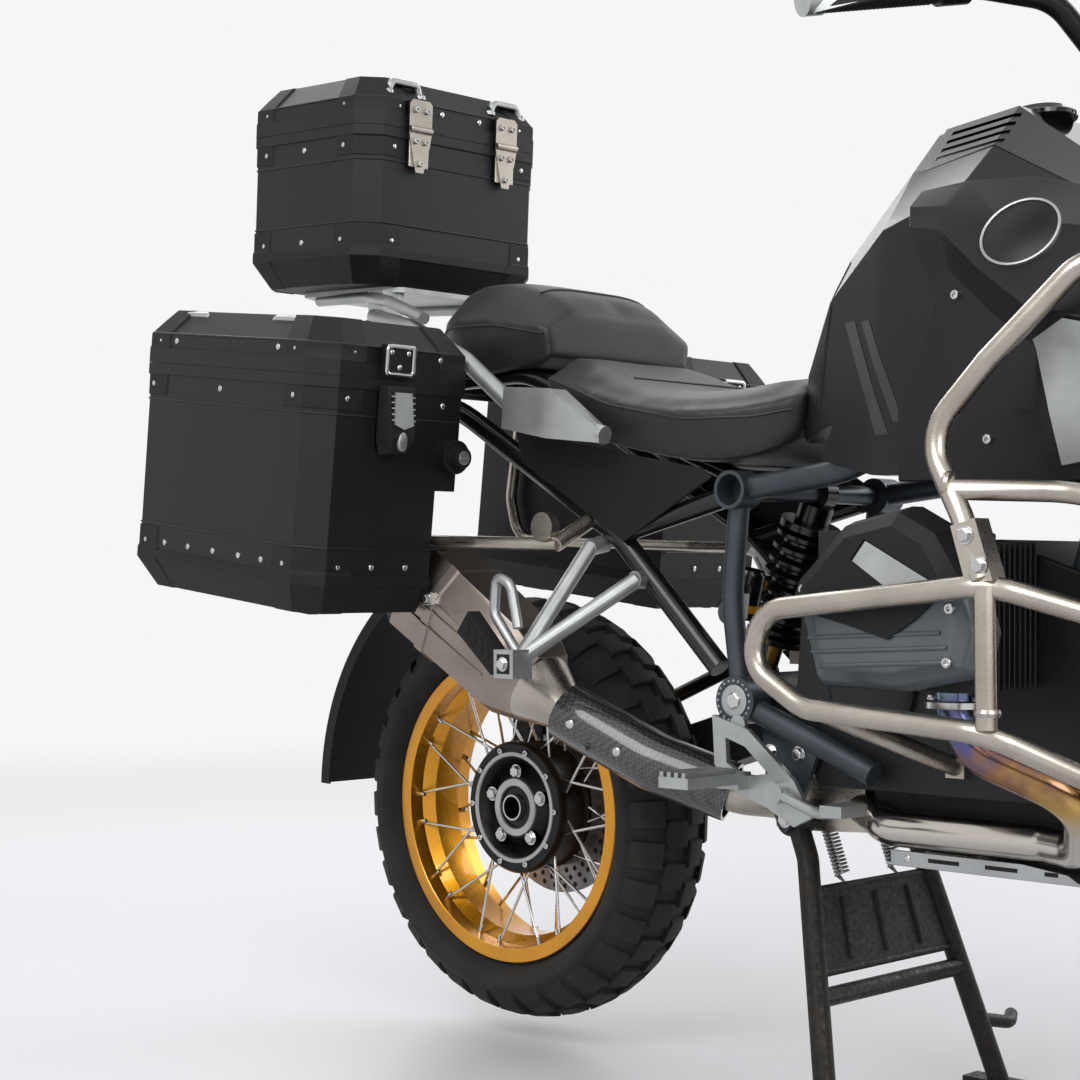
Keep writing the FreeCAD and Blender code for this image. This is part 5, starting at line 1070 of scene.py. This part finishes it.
# the panniers' cut corners, picked by how their faces turn, get the lighter coat: a painted highlight
for node in ("pannier_right", "pannier_left", "pannier_right_lid", "pannier_left_lid"):
    paintFaces(node, "powderCoatPaintedHighlight", lambda c, n, s: cutFace(directionIn(pannier, n)) & upright(n))
    if not node.endswith("lid"):
        paintFaces(node, "mouldedNylon", lambda c, n, s: localIn(pannier, c)[:, 2] < footOf(pannier))
        paintFaces(node, "mouldedNylon", lambda c, n, s: localIn(pannier, c)[:, 0] > pannier["half"] + 4)
paintFaces("topcase", "mouldedNylon", lambda c, n, s: localIn(topcase, c)[:, 2] < footOf(topcase))
# the topcase's cut corners get the same painted highlight
for node in ("topcase", "topcase_lid"):
    paintFaces(node, "powderCoatPaintedHighlight", lambda c, n, s: cutFace(n) & upright(n))
paintFaces("case_latches", "brushedStainless", lambda c, n, s: s[:, 0] < 14, sizes=True)
paintFaces("head_guards", "silverCasting", lambda c, n, s: s[:, 0] < 200, sizes=True)
paintFaces("handlebar", "mouldedRubber", lambda c, n, s: (aside(c) > 322) & (aside(c) < 448))
paintFaces("hand_guards", "silverCasting", lambda c, n, s: aside(c) > 452)
paintFaces("passenger_pegs", "mouldedRubber", lambda c, n, s: (
    (c[:, 0] < 268) & (aside(c) > 306) & (aside(c) < 334) & (c[:, 2] - 586 < -0.95 * (c[:, 0] - 284) + 2)))
paintFaces("rear_hub", "platedSteel", lambda c, n, s: offAxis(c, rearHub) > 101)
paintFaces("front_hub", "platedSteel", lambda c, n, s: offAxis(c, frontHub) > 47)
paintFaces("tail_lamps", "amberLens", lambda c, n, s: aside(c) > 138)
paintFaces("tail_lamps", "grainedPolypropylene", lambda c, n, s: (aside(c) > 62) & (aside(c) <= 138))
paintFaces("fork", "platedSteel", lambda c, n, s: (offLeg(c) < 21) & (upFork(c) > 466) & (upFork(c) < 928))
paintFaces("fork", "goldAnodised", lambda c, n, s: (offLeg(c) < 28) & (upFork(c) < 380) & (upFork(c) > -30))
paintFaces("exhaust_pipes", "brushedStainless", lambda c, n, s: c[:, 0] < 700)
paintFaces("rear_shock", "amberPlastic",
           lambda c, n, s: np.all((c > (426, -30, 590)) & (c < (470, 70, 622)), axis=1))
can = {"foot": (262, -194, 508), "axis": (-0.8645, 0, 0.5026), "up": (0.5026, 0, 0.8645), "tail": 336,
       "ridges": (14, -12), "ridgeRun": (60, 262, 40), "clamp": (197, 30), "ring": (296, 6)}
paintFaces("silencer", "darkCasting", lambda c, n, s: (
    -0.86 * (c[:, 0] - can["foot"][0]) + 0.5 * (c[:, 2] - can["foot"][2]) > can["tail"]))
print("stage: zones painted")


# small forms laid on CAD surfaces; places are (x, z) pairs in mm, seen from both sides
graph = bpy.context.evaluated_depsgraph_get()
trees = {node: BVHTree.FromObject(dressed[node], graph) for node in (
    "fuel_tank", "side_shrouds", "tank_cover", "head_covers", "engine_block", "main_frame", "crash_bars",
    "silencer", "exhaust_shield", "skid_plate", "headlight", "tail_unit")}

# tank: two stripes a side, each from its top to its foot with a width, a seam and the filler cap
tankTrim = {"stripes": (((716, 1004), (786, 862), 19), ((748, 1002), (812, 876), 15)),
            "seam": ((668, 900), (690, 1085)), "cap": (879, 0, 1500), "boltCircle": 41,
            "capProfile": ((-3, 47), (3, 47), (4, 45), (4, 38), (7, 36), (12, 34), (13, 30), (13, 1))}
shroudTrim = {"disc": (1012, 1070), "screws": ((970, 847), (930, 1010), (1110, 905), (1160, 1030)),
              "discProfile": ((-4, 43), (1.6, 43), (2.4, 41.5), (2.6, 1)),
              "rimProfile": ((-3, 46), (3.0, 46), (3.6, 44.6), (3.0, 43), (-3, 43))}
tank, shroud, cover = trees["fuel_tank"], trees["side_shrouds"], trees["tank_cover"]
stripes, lines = [], []
for side in bothSides:
    y, inward = side * 500, (0, -side, 0)
    for (x0, z0), (x1, z1), wide in tankTrim["stripes"]:
        corners = [(x0, y, z0), (x1, y, z1), (x1 + wide, y, z1), (x0 + wide, y, z0)]
        stripes.append(decal(tank, corners, inward))
    (x0, z0), (x1, z1) = tankTrim["seam"]
    lines.append(lineOn(tank, between((x0, y, z0), (x1, y, z1), 30), inward, 1.3))
makePiece("tankStripes", stripes, "greyStripeLacquer", "fuel_tank", sharp=60)
discs = onSides(shroud, [shroudTrim["disc"]], 500,
                lambda p, n, side: turned(shroudTrim["discProfile"], p, n, 72))
makePiece("shroudDiscs", discs, "mattBlackPaint", "side_shrouds")
discRims = onSides(shroud, [shroudTrim["disc"]], 500,
                   lambda p, n, side: turned(shroudTrim["rimProfile"], p, n, 72, closed=True))
makePiece("shroudDiscRims", discRims, "silverCasting", "side_shrouds")
screws = onSides(shroud, shroudTrim["screws"], 500, lambda p, n, side: socketBolt(p, n, 5.5))
makePiece("shroudScrews", screws, "platedSteel", "side_shrouds")
makePiece("tankSeams", lines, "mouldedNylon", "fuel_tank")
capParts = seated(cover, tankTrim["cap"], (0, 0, -1), lambda p, n: [
    turned(tankTrim["capProfile"], p, n, 64), box(p + (-22, -4, 11), p + (22, 4, 16))])
makePiece("fuelCap", capParts, "glossBlackCover", "tank_cover", bevel=0.8)
circle = [tankTrim["boltCircle"] * np.array([math.cos(a), math.sin(a), 0]) for a in np.arange(6) * math.pi / 3]
capBolts = seated(cover, tankTrim["cap"], (0, 0, -1), lambda p, n: [
    socketBolt(p + out + (0, 0, 3.2), (0, 0, 1), 3.6) for out in circle])
makePiece("fuelCapBolts", capBolts, "platedSteel", "tank_cover")

# engine: the head covers' ribs and screws as offsets from their middle, the right one further back than the
# left, then the header pipes' collars, and the block's screws and round covers
engineTrim = {"middle": (885, 650), "stagger": 14, "ribs": ((-22, -88, 96), (-38, -82, 104), (-54, -74, 100)),
              "coverScrews": ((-92, -58), (104, -48), (-92, 30), (108, 10)), "collar": (62, 262, 548),
              "screws": ((640, 660), (640, 520), (700, 460), (1010, 470), (1040, 560), (1010, 650)),
              "covers": (((725, 127, 560), ((0, 66), (8, 64), (12, 58), (13, 50), (13, 1)), 64),
                         ((672, 127, 670), ((0, 30), (6, 29), (9, 25), (9, 1)), 40))}
collarProfile = ((0, 34), (7, 34), (9, 32), (9, 22.5), (0, 22.5))
ribs, coverScrews, collars, roundCovers = [], [], [], []
for side in bothSides:
    x, z = engineTrim["middle"][0] + side * engineTrim["stagger"], engineTrim["middle"][1]
    y, inward, outward = side * 600, (0, -side, 0), (0, side, 0)
    for low, behind, ahead in engineTrim["ribs"]:
        starts = between((x + behind, y, z + low - 3), (x + ahead, y, z + low + 6), 44)
        ribs.append(lineOn(trees["head_covers"], starts, inward, 2.6, raised=0.2))
    for dx, dz in engineTrim["coverScrews"]:
        place = (x + dx, y, z + dz)
        coverScrews += seated(trees["head_covers"], place, inward, lambda p, n: socketBolt(p, outward))
    dx, reach, foot = engineTrim["collar"]
    collars.append(turned(collarProfile, (x + dx, side * reach, foot), (0, 0, 1), 40, closed=True))
    collars += [hexBolt((x + dx + way, side * reach, foot + 9), (0, 0, 1), 5.5) for way in (-30, 30)]
    for (coverX, coverY, coverZ), profile, sides in engineTrim["covers"]:
        roundCovers.append(turned(profile, (coverX, side * coverY, coverZ), outward, sides))
makePiece("coverRibs", ribs, "coverPaint", "head_covers")
makePiece("coverScrews", coverScrews, "platedSteel", "head_covers")
makePiece("headerCollars", collars, "platedSteel", "exhaust_pipes")
screws = onSides(trees["engine_block"], engineTrim["screws"], 400, lambda p, n, side: socketBolt(p, n, 6.5))
makePiece("engineScrews", screws, "platedSteel", "engine_block")
makePiece("engineCovers", roundCovers, "darkCasting", "engine_block", bevel=0.6)

# frame: pivot rings with splines and their bolts, mounts, then the crash bars' clamps and weld beads
pivot = {"place": (537, 168, 535), "splines": (26, 20), "bolts": ((598, 385), (620, 470), (575, 470)),
         "ring": ((-10, 20.5), (1.4, 20.5), (2.0, 18.5), (2.0, 10), (-4, 9.5))}
barTrim = {"bolts": ((1036, 706), (1018, 738)), "bead": ((-4, 13.6), (0, 15), (4, 13.6)),
           "welds": (((1040, 364, 552), (0.03, 0, 1)), ((984, 350, 793), (1, 0.1, -0.05)))}
sideBolt = lambda p, n, side: hexBolt(p, (0, side, 0), 8)
splines, bolts, beads = [], [], []
for side in bothSides:
    centre, outward = np.array(pivot["place"], float) * (1, side, 1), (0, side, 0)
    splines += [turned([(0, 2.0), (2.4, 1.6)], p, outward, 8) for p, _ in around(centre, *pivot["splines"])]
    splines.append(turned(pivot["ring"], centre, outward, 40))
    bolts += hexBolt(centre + (0, side * -4, 0), outward, 11)
    beads += [turned(barTrim["bead"], (x, side * y, z), axis, 24) for (x, y, z), axis in barTrim["welds"]]
bolts += onSides(trees["main_frame"], pivot["bolts"], 400, sideBolt)
makePiece("pivotRings", splines, "silverCasting", "main_frame")
makePiece("frameBolts", bolts, "platedSteel", "main_frame", bevel=0.4)
clampBolts = onSides(trees["crash_bars"], barTrim["bolts"], 600, sideBolt)
makePiece("crashBarBolts", clampBolts, "platedSteel", "crash_bars", bevel=0.4)
makePiece("crashBarWelds", beads, "brushedStainless", "crash_bars")

# centre stand: rolled lips and ribs of its plate, double springs, and a pad under each foot
stand = {"knee": (619, 121, 336), "foot": (703, 190, 12), "lips": (296, 196), "ribs": (284, 208),
         "springs": ((9.0, 1.8), (5.0, 1.4)), "springEnds": ((630, 58, 300), (598, 58, 384)), "turns": 14}


def onLeg(z):
    # x and y where the leg, straight from knee to foot, passes the height z
    knee, foot = stand["knee"], stand["foot"]
    share = (knee[2] - z) / (knee[2] - foot[2])
    return knee[0] + (foot[0] - knee[0]) * share, knee[1] + (foot[1] - knee[1]) * share


def coil(start, end, radius, wire, turns):
    # a helix about the line from start to end, with short straight hooks:
    # start + (end - start) * (0.12 + 0.76 t) + radius * (cos * side + sin * up)
    start, end = np.array(start, float), np.array(end, float)
    axis = (end - start) / np.linalg.norm(end - start)
    side = np.cross(axis, (0, 1, 0))
    side /= np.linalg.norm(side)
    up = np.cross(axis, side)
    t = np.linspace(0, 1, turns * 14 + 1)[:, None]
    circle = np.cos(t * turns * 2 * math.pi) * side + np.sin(t * turns * 2 * math.pi) * up
    line = start + (end - start) * (0.12 + 0.76 * t) + radius * circle
    return sweep(np.concatenate([[start], line, [end]]), wire, 8)


plate = []
for z in stand["lips"]:
    x, y = onLeg(z)
    plate.append(roundTube([(x, -y + 8, z), (x, y - 8, z)], 5.0, 1, 14))
high, low = stand["ribs"]
for y in (-70, 0, 70):
    plate.append(roundTube([(onLeg(high)[0] + 3, y, high), (onLeg(low)[0] + 3, y * 1.1, low)], 4.5, 1, 10))
makePiece("standPlateLips", plate, "wornStandPaint", "centre_stand")
springs = []
for side in bothSides:
    (x0, y0, z0), (x1, y1, z1) = stand["springEnds"]
    springs += [coil((x0, side * y0, z0), (x1, side * y1, z1), radius, wire, stand["turns"])
                for radius, wire in stand["springs"]]
makePiece("standSprings", springs, "groundSteel", "centre_stand")
footX, footY, _ = stand["foot"]
pads = [box((footX - 50, s * footY - 18, 0), (footX + 38, s * footY + 22, 5)) for s in bothSides]
makePiece("standFeetPads", pads, "groundSteel", "centre_stand", bevel=1.0)

# exhaust: can ridges, strap clamp, tail ring, heat shield screws; places as (way along, way up) from its front
canAxis, canUp = np.array(can["axis"]), np.array(can["up"])
canPlace = lambda way, up: np.array(can["foot"]) + canAxis * (60 + way) + canUp * up
first, last, count = can["ridgeRun"]
ridges = []
for up in can["ridges"]:
    starts = [canPlace(way, up) + (0, -200, 0) for way in np.linspace(first, last, count)]
    ridges.append(lineOn(trees["silencer"], starts, (0, 1, 0), 1.8))
makePiece("canRidges", ridges, "brushedTitanium", "silencer")
clampStart = canPlace(*can["clamp"]) + (0, -200, 0)
clamp = seated(trees["silencer"], clampStart, (0, 1, 0), lambda p, n: box(p + (-9, -6, -9), p + (9, 6, 9)))
makePiece("canClamp", clamp, "platedSteel", "silencer", bevel=1.0)
bolt = seated(trees["silencer"], clampStart, (0, 1, 0), lambda p, n: hexBolt(p + (0, -6, 0), (0, -1, 0), 6))
makePiece("canClampBolt", bolt, "platedSteel", "silencer")
profile = [(-8, 27), (3, 27), (4, 25), (3, 23.6), (-8, 23.6)]
tailRing = turned(profile, canPlace(*can["ring"]), canAxis, 48, closed=True)
makePiece("tailRing", [tailRing], "polishedStainless", "silencer")
shieldScrews = [seated(trees["exhaust_shield"], (x, -600, z), (0, 1, 0), lambda p, n: dome(p, n, 6.5, 3.2, 16))
                for x, z in ((455, 432), (372, 462), (300, 496))]
makePiece("shieldScrews", shieldScrews, "platedSteel", "exhaust_shield")

# skid plate: its long slots drawn as dark sunk strips on its sides and its nose, painted shade where the
# openings are, and a screw a side
skid = trees["skid_plate"]
skidTrim = {"slots": (800, 880, 960), "length": 44, "top": 353, "foot": 348, "nose": (-60, 0, 60), "half": 16,
            "noseRows": (400, 440), "screw": (770, 350)}
slots = []
for side in bothSides:
    for x in skidTrim["slots"]:
        corners = [(x + dx, side * 400, z) for dx, z in (
            (0, skidTrim["top"]), (skidTrim["length"], skidTrim["top"]),
            (skidTrim["length"], skidTrim["foot"]), (0, skidTrim["foot"]))]
        slots.append(decal(skid, corners, (0, -side, 0), 0.25, (6, 3)))
for y in skidTrim["nose"]:
    low, high = skidTrim["noseRows"]
    corners = [(1500, y + dy * skidTrim["half"], z) for dy, z in ((-1, low), (1, low), (1, high), (-1, high))]
    slots.append(decal(skid, corners, (-1, 0, 0), 0.25, (6, 6)))
makePiece("skidSlotShade", slots, "mouldedNylon", "skid_plate")
skidScrews = onSides(skid, [skidTrim["screw"]], 400, lambda p, n, side: dome(p, n, 5, 2.5))
makePiece("skidScrews", skidScrews, "platedSteel", "skid_plate")

# controls: brake reservoir and damper canister with their lines, each turned about its own leaning axis
reservoirAxis, canisterAxis = (0.08, 0, 1), (0.25, 0, 0.97)
reservoir = turned([(0, 16), (30, 17), (34, 17)], (492, -112, 640), reservoirAxis, 32)
makePiece("brakeReservoir", [reservoir], "whiteReservoir", "main_frame", bevel=0.8)
reservoirCap = [turned([(0, 19), (9, 19), (11, 17), (11, 1)], (494.7, -112, 674), reservoirAxis, 12),
                roundTube([(496, -112, 652), (512, -132, 656), (517, -146, 660)], 6, 12, 12)]
makePiece("brakeReservoirCap", reservoirCap, "mouldedNylon", "main_frame", bevel=0.6)
canister = turned([(0, 21), (60, 21), (66, 18), (66, 1)], (470, -72, 640), canisterAxis, 40)
makePiece("damperCanister", [canister], "glossPowderBlack", "rear_shock")
damperCollar = [turned([(0, 23), (10, 23)], (472.5, -72, 650), canisterAxis, 40),
                roundTube([(476, -72, 668), (470, -40, 676), (466, -18, 684)], 7, 12, 12)]
makePiece("damperCollar", damperCollar, "amberPlastic", "rear_shock")

# grips' ribs, dash screen and mirrors' faces, in the steering's leaned frame
grip = {"start": (-40, 282, 1150.0), "along": (-0.4513, 0.8921, 0.021), "ways": (52, 182, 5.2),
        "rib": ((-1.1, 16.3), (-0.5, 17.3), (0.5, 17.3), (1.1, 16.3))}
mirror = {"x": -93.0, "outline": ((341, 1280), (451, 1289), (458, 1333), (353, 1348))}
gripRings, mirrorFaces = [], []
for side in bothSides:
    start, along = np.array(grip["start"]), np.array(grip["along"])
    for way in np.arange(*grip["ways"]):
        place = (start + along * way) * (1, side, 1)
        gripRings.append(turned(grip["rib"], place, along * (1, side, 1), 24))
    lift = lambda p: np.column_stack([mirror["x"] - p[:, 2], side * p[:, 0], p[:, 1]])
    mirrorFaces.append(slab(mirror["outline"], -0.5, 1.0, lift))
makePiece("gripRibs", inFrame(steeringLean, *gripRings), "mouldedRubber", "handlebar")
screen = box((170.4, -82, 944), (172.4, 82, 1026))
makePiece("dashScreen", inFrame(steeringLean, screen), "darkLens", "dashboard", bevel=0.8)
makePiece("mirrorGlass", inFrame(steeringLean, *mirrorFaces), "silveredGlass", "mirrors", bevel=0.4)

# headlight: two large lenses and two small, each with its bezel, as (y, z, radius)
lenses, bezels = [], []
for y, z, r in ((-44, 1058, 33), (44, 1058, 33), (-36, 1096, 12), (36, 1096, 12)):
    (place, *_), (normal, *_) = cast(trees["headlight"], [(1700, y, z)], (-1, 0, 0))
    lenses.append(turned([(-2, r), (1.4, r * 0.97), (3.2, r * 0.7), (4.0, r * 0.1)], place, normal, 48))
    profile = [(-3, r + 4), (2.6, r + 3.6), (3.0, r + 2), (1, r + 0.4), (-3, r + 0.4)]
    bezels.append(turned(profile, place, normal, 48, closed=True))
makePiece("headlightLenses", lenses, "silveredGlass", "headlight")
makePiece("headlightBezels", bezels, "mouldedNylon", "headlight")
corners = [(-700, y, z) for y, z in ((-92, 786), (92, 786), (92, 676), (-92, 676))]
makePiece("blankPlate", [decal(trees["tail_unit"], corners, (1, 0, 0), 1.2, (10, 8))], "whiteReservoir",
          "tail_unit", sharp=40)
drive = [hexBolt(place, (0, 1, 0), 6.5) for place, _ in around((rearHub[0], 136, rearHub[1]), 58, 6, 20)]
makePiece("driveBolts", drive, "platedSteel", "swingarm", bevel=0.3)
profile = [(0, 24), (3, 24), (4, 22), (4, 18.5), (0, 18.5)]
driveCap = turned(profile, (rearHub[0], 151.8, rearHub[1]), (0, 1, 0), 40, closed=True)
makePiece("driveCapRing", [driveCap], "silverCasting", "swingarm")

# passenger pegs: five rubber ribs down the slope of each, a thin dark plate that stands for the recess round
# its pin as painted shade, and the pin
pegRubber, pegRecessShade, pegPins = [], [], []
for side in bothSides:
    for t in (0.1, 0.3, 0.5, 0.7, 0.9):
        top = np.array([265 - 66 * t, side * 307.5, 573 + 56 * t])
        near, far = sorted((-1.5 * side, 25 * side))
        pegRubber.append(box(top + (-4, near, -8), top + (6, far, 14)))
    near, far = sorted((side * 332.4, side * 333.6))
    pegRecessShade.append(box((268, near, 566), (292, far, 592)))
    pegPins += hexBolt((280, side * 333.2, 579), (0, side, 0), 7.5)
makePiece("passengerPegRubber", pegRubber, "mouldedRubber", "passenger_pegs", bevel=1.5)
makePiece("passengerPegRecessShade", pegRecessShade, "mouldedNylon", "passenger_pegs", bevel=0.5)
makePiece("passengerPegPins", pegPins, "platedSteel", "passenger_pegs", bevel=0.3)
print("stage: small forms")

# the room round the motorcycle, in metres and watts
studio = {"floor": "#d9dadd", "background": "#f6f6f7", "fade": (2.0, 6.5), "worldSeen": 1.0, "worldLight": 0.55,
          "radius": 40, "corners": 96, "aim": (-0.1, 0, 0.6),
          "lamps": (("keyLamp", (0.4, -3.6, 3.4), 2.6, 95), ("sideLamp", (3.6, -1.4, 2.2), 2.2, 60),
                    ("rearLamp", (-3.4, 1.2, 3.0), 2.4, 70), ("farLamp", (0.8, 4.0, 2.6), 2.6, 60))}


def buildStage():
    # a pale floor disc, z = 0, that ends far behind everything in view
    angle = np.linspace(0, 2 * math.pi, studio["corners"], endpoint=False)
    rim = np.column_stack([np.cos(angle), np.sin(angle), angle * 0]) * studio["radius"]
    mesh = bpy.data.meshes.new("studioFloor")
    mesh.from_pydata(rim.tolist(), [], [list(range(studio["corners"]))])
    floor = linked("studioFloor", mesh)
    material, tree, shader, place = startMaterial("pouredFloor", studio["floor"], 0.0, 0.35)
    roughnessFrom(tree, shader, noiseOf(tree, place, 1.6, 4.0), 0.26, 0.40)
    # far from the motorcycle the floor turns into the background's white, so that no horizon shows
    away = addNode(tree, "ShaderNodeVectorMath", {0: place}, operation="LENGTH")
    near, far = studio["fade"]
    fade = addNode(tree, "ShaderNodeMapRange", {"Value": away.outputs["Value"]},
                   {"From Min": near, "From Max": far}, interpolation_type="SMOOTHSTEP")
    glow = addNode(tree, "ShaderNodeEmission", sockets={"Color": linearColour(studio["background"]),
                                                        "Strength": studio["worldSeen"]})
    mixed = addNode(tree, "ShaderNodeMixShader", {0: fade.outputs["Result"], 1: shader.outputs["BSDF"],
                                                  2: glow.outputs["Emission"]})
    out = next(node for node in tree.nodes if node.type == "OUTPUT_MATERIAL")
    tree.links.new(mixed.outputs["Shader"], out.inputs["Surface"])
    mesh.materials.append(material)


def buildLight():
    # soft square lamps turned to the motorcycle, and a world that the camera and reflections see as white
    for name, place, size, power in studio["lamps"]:
        lamp = bpy.data.lights.new(name, "AREA")
        lamp.size, lamp.energy = size, power
        holder = linked(name, lamp)
        holder.location = place
        holder.rotation_euler = (Vector(studio["aim"]) - Vector(place)).to_track_quat("-Z", "Y").to_euler()
    world = bpy.data.worlds.new("paleStudio")
    bpy.context.scene.world = world
    world.use_nodes = True
    tree = world.node_tree
    tree.nodes.clear()
    rays = addNode(tree, "ShaderNodeLightPath")
    seen = rays.outputs["Is Camera Ray"]
    for kind in ("Is Transmission Ray", "Is Glossy Ray"):
        either = addNode(tree, "ShaderNodeMath", {0: seen, 1: rays.outputs[kind]}, operation="MAXIMUM")
        seen = either.outputs["Value"]
    strength = addNode(tree, "ShaderNodeMapRange", {"Value": seen},
                       {"To Min": studio["worldLight"], "To Max": studio["worldSeen"]})
    glow = addNode(tree, "ShaderNodeBackground", {"Strength": strength.outputs["Result"]},
                   {"Color": linearColour(studio["background"])})
    addNode(tree, "ShaderNodeOutputWorld", {"Surface": glow.outputs["Background"]})


view = {"place": (1.5713, -2.2214, 0.6953), "ahead": (-0.7098, 0.7044, -0.00145), "lens": 68.8,
        "shift": (0.0087, 0.036)}


def placeCamera():
    camera = bpy.data.cameras.new("photoView")
    camera.lens, camera.sensor_width = view["lens"], 36.0
    camera.shift_x, camera.shift_y = view["shift"]
    holder = linked("photoView", camera)
    holder.location = view["place"]
    holder.rotation_euler = Vector(view["ahead"]).to_track_quat("-Z", "Y").to_euler()
    bpy.context.scene.camera = holder


buildStage()
buildLight()
placeCamera()
bpy.context.scene.view_settings.view_transform = "Standard"
print("stage: floor, light and camera placed")
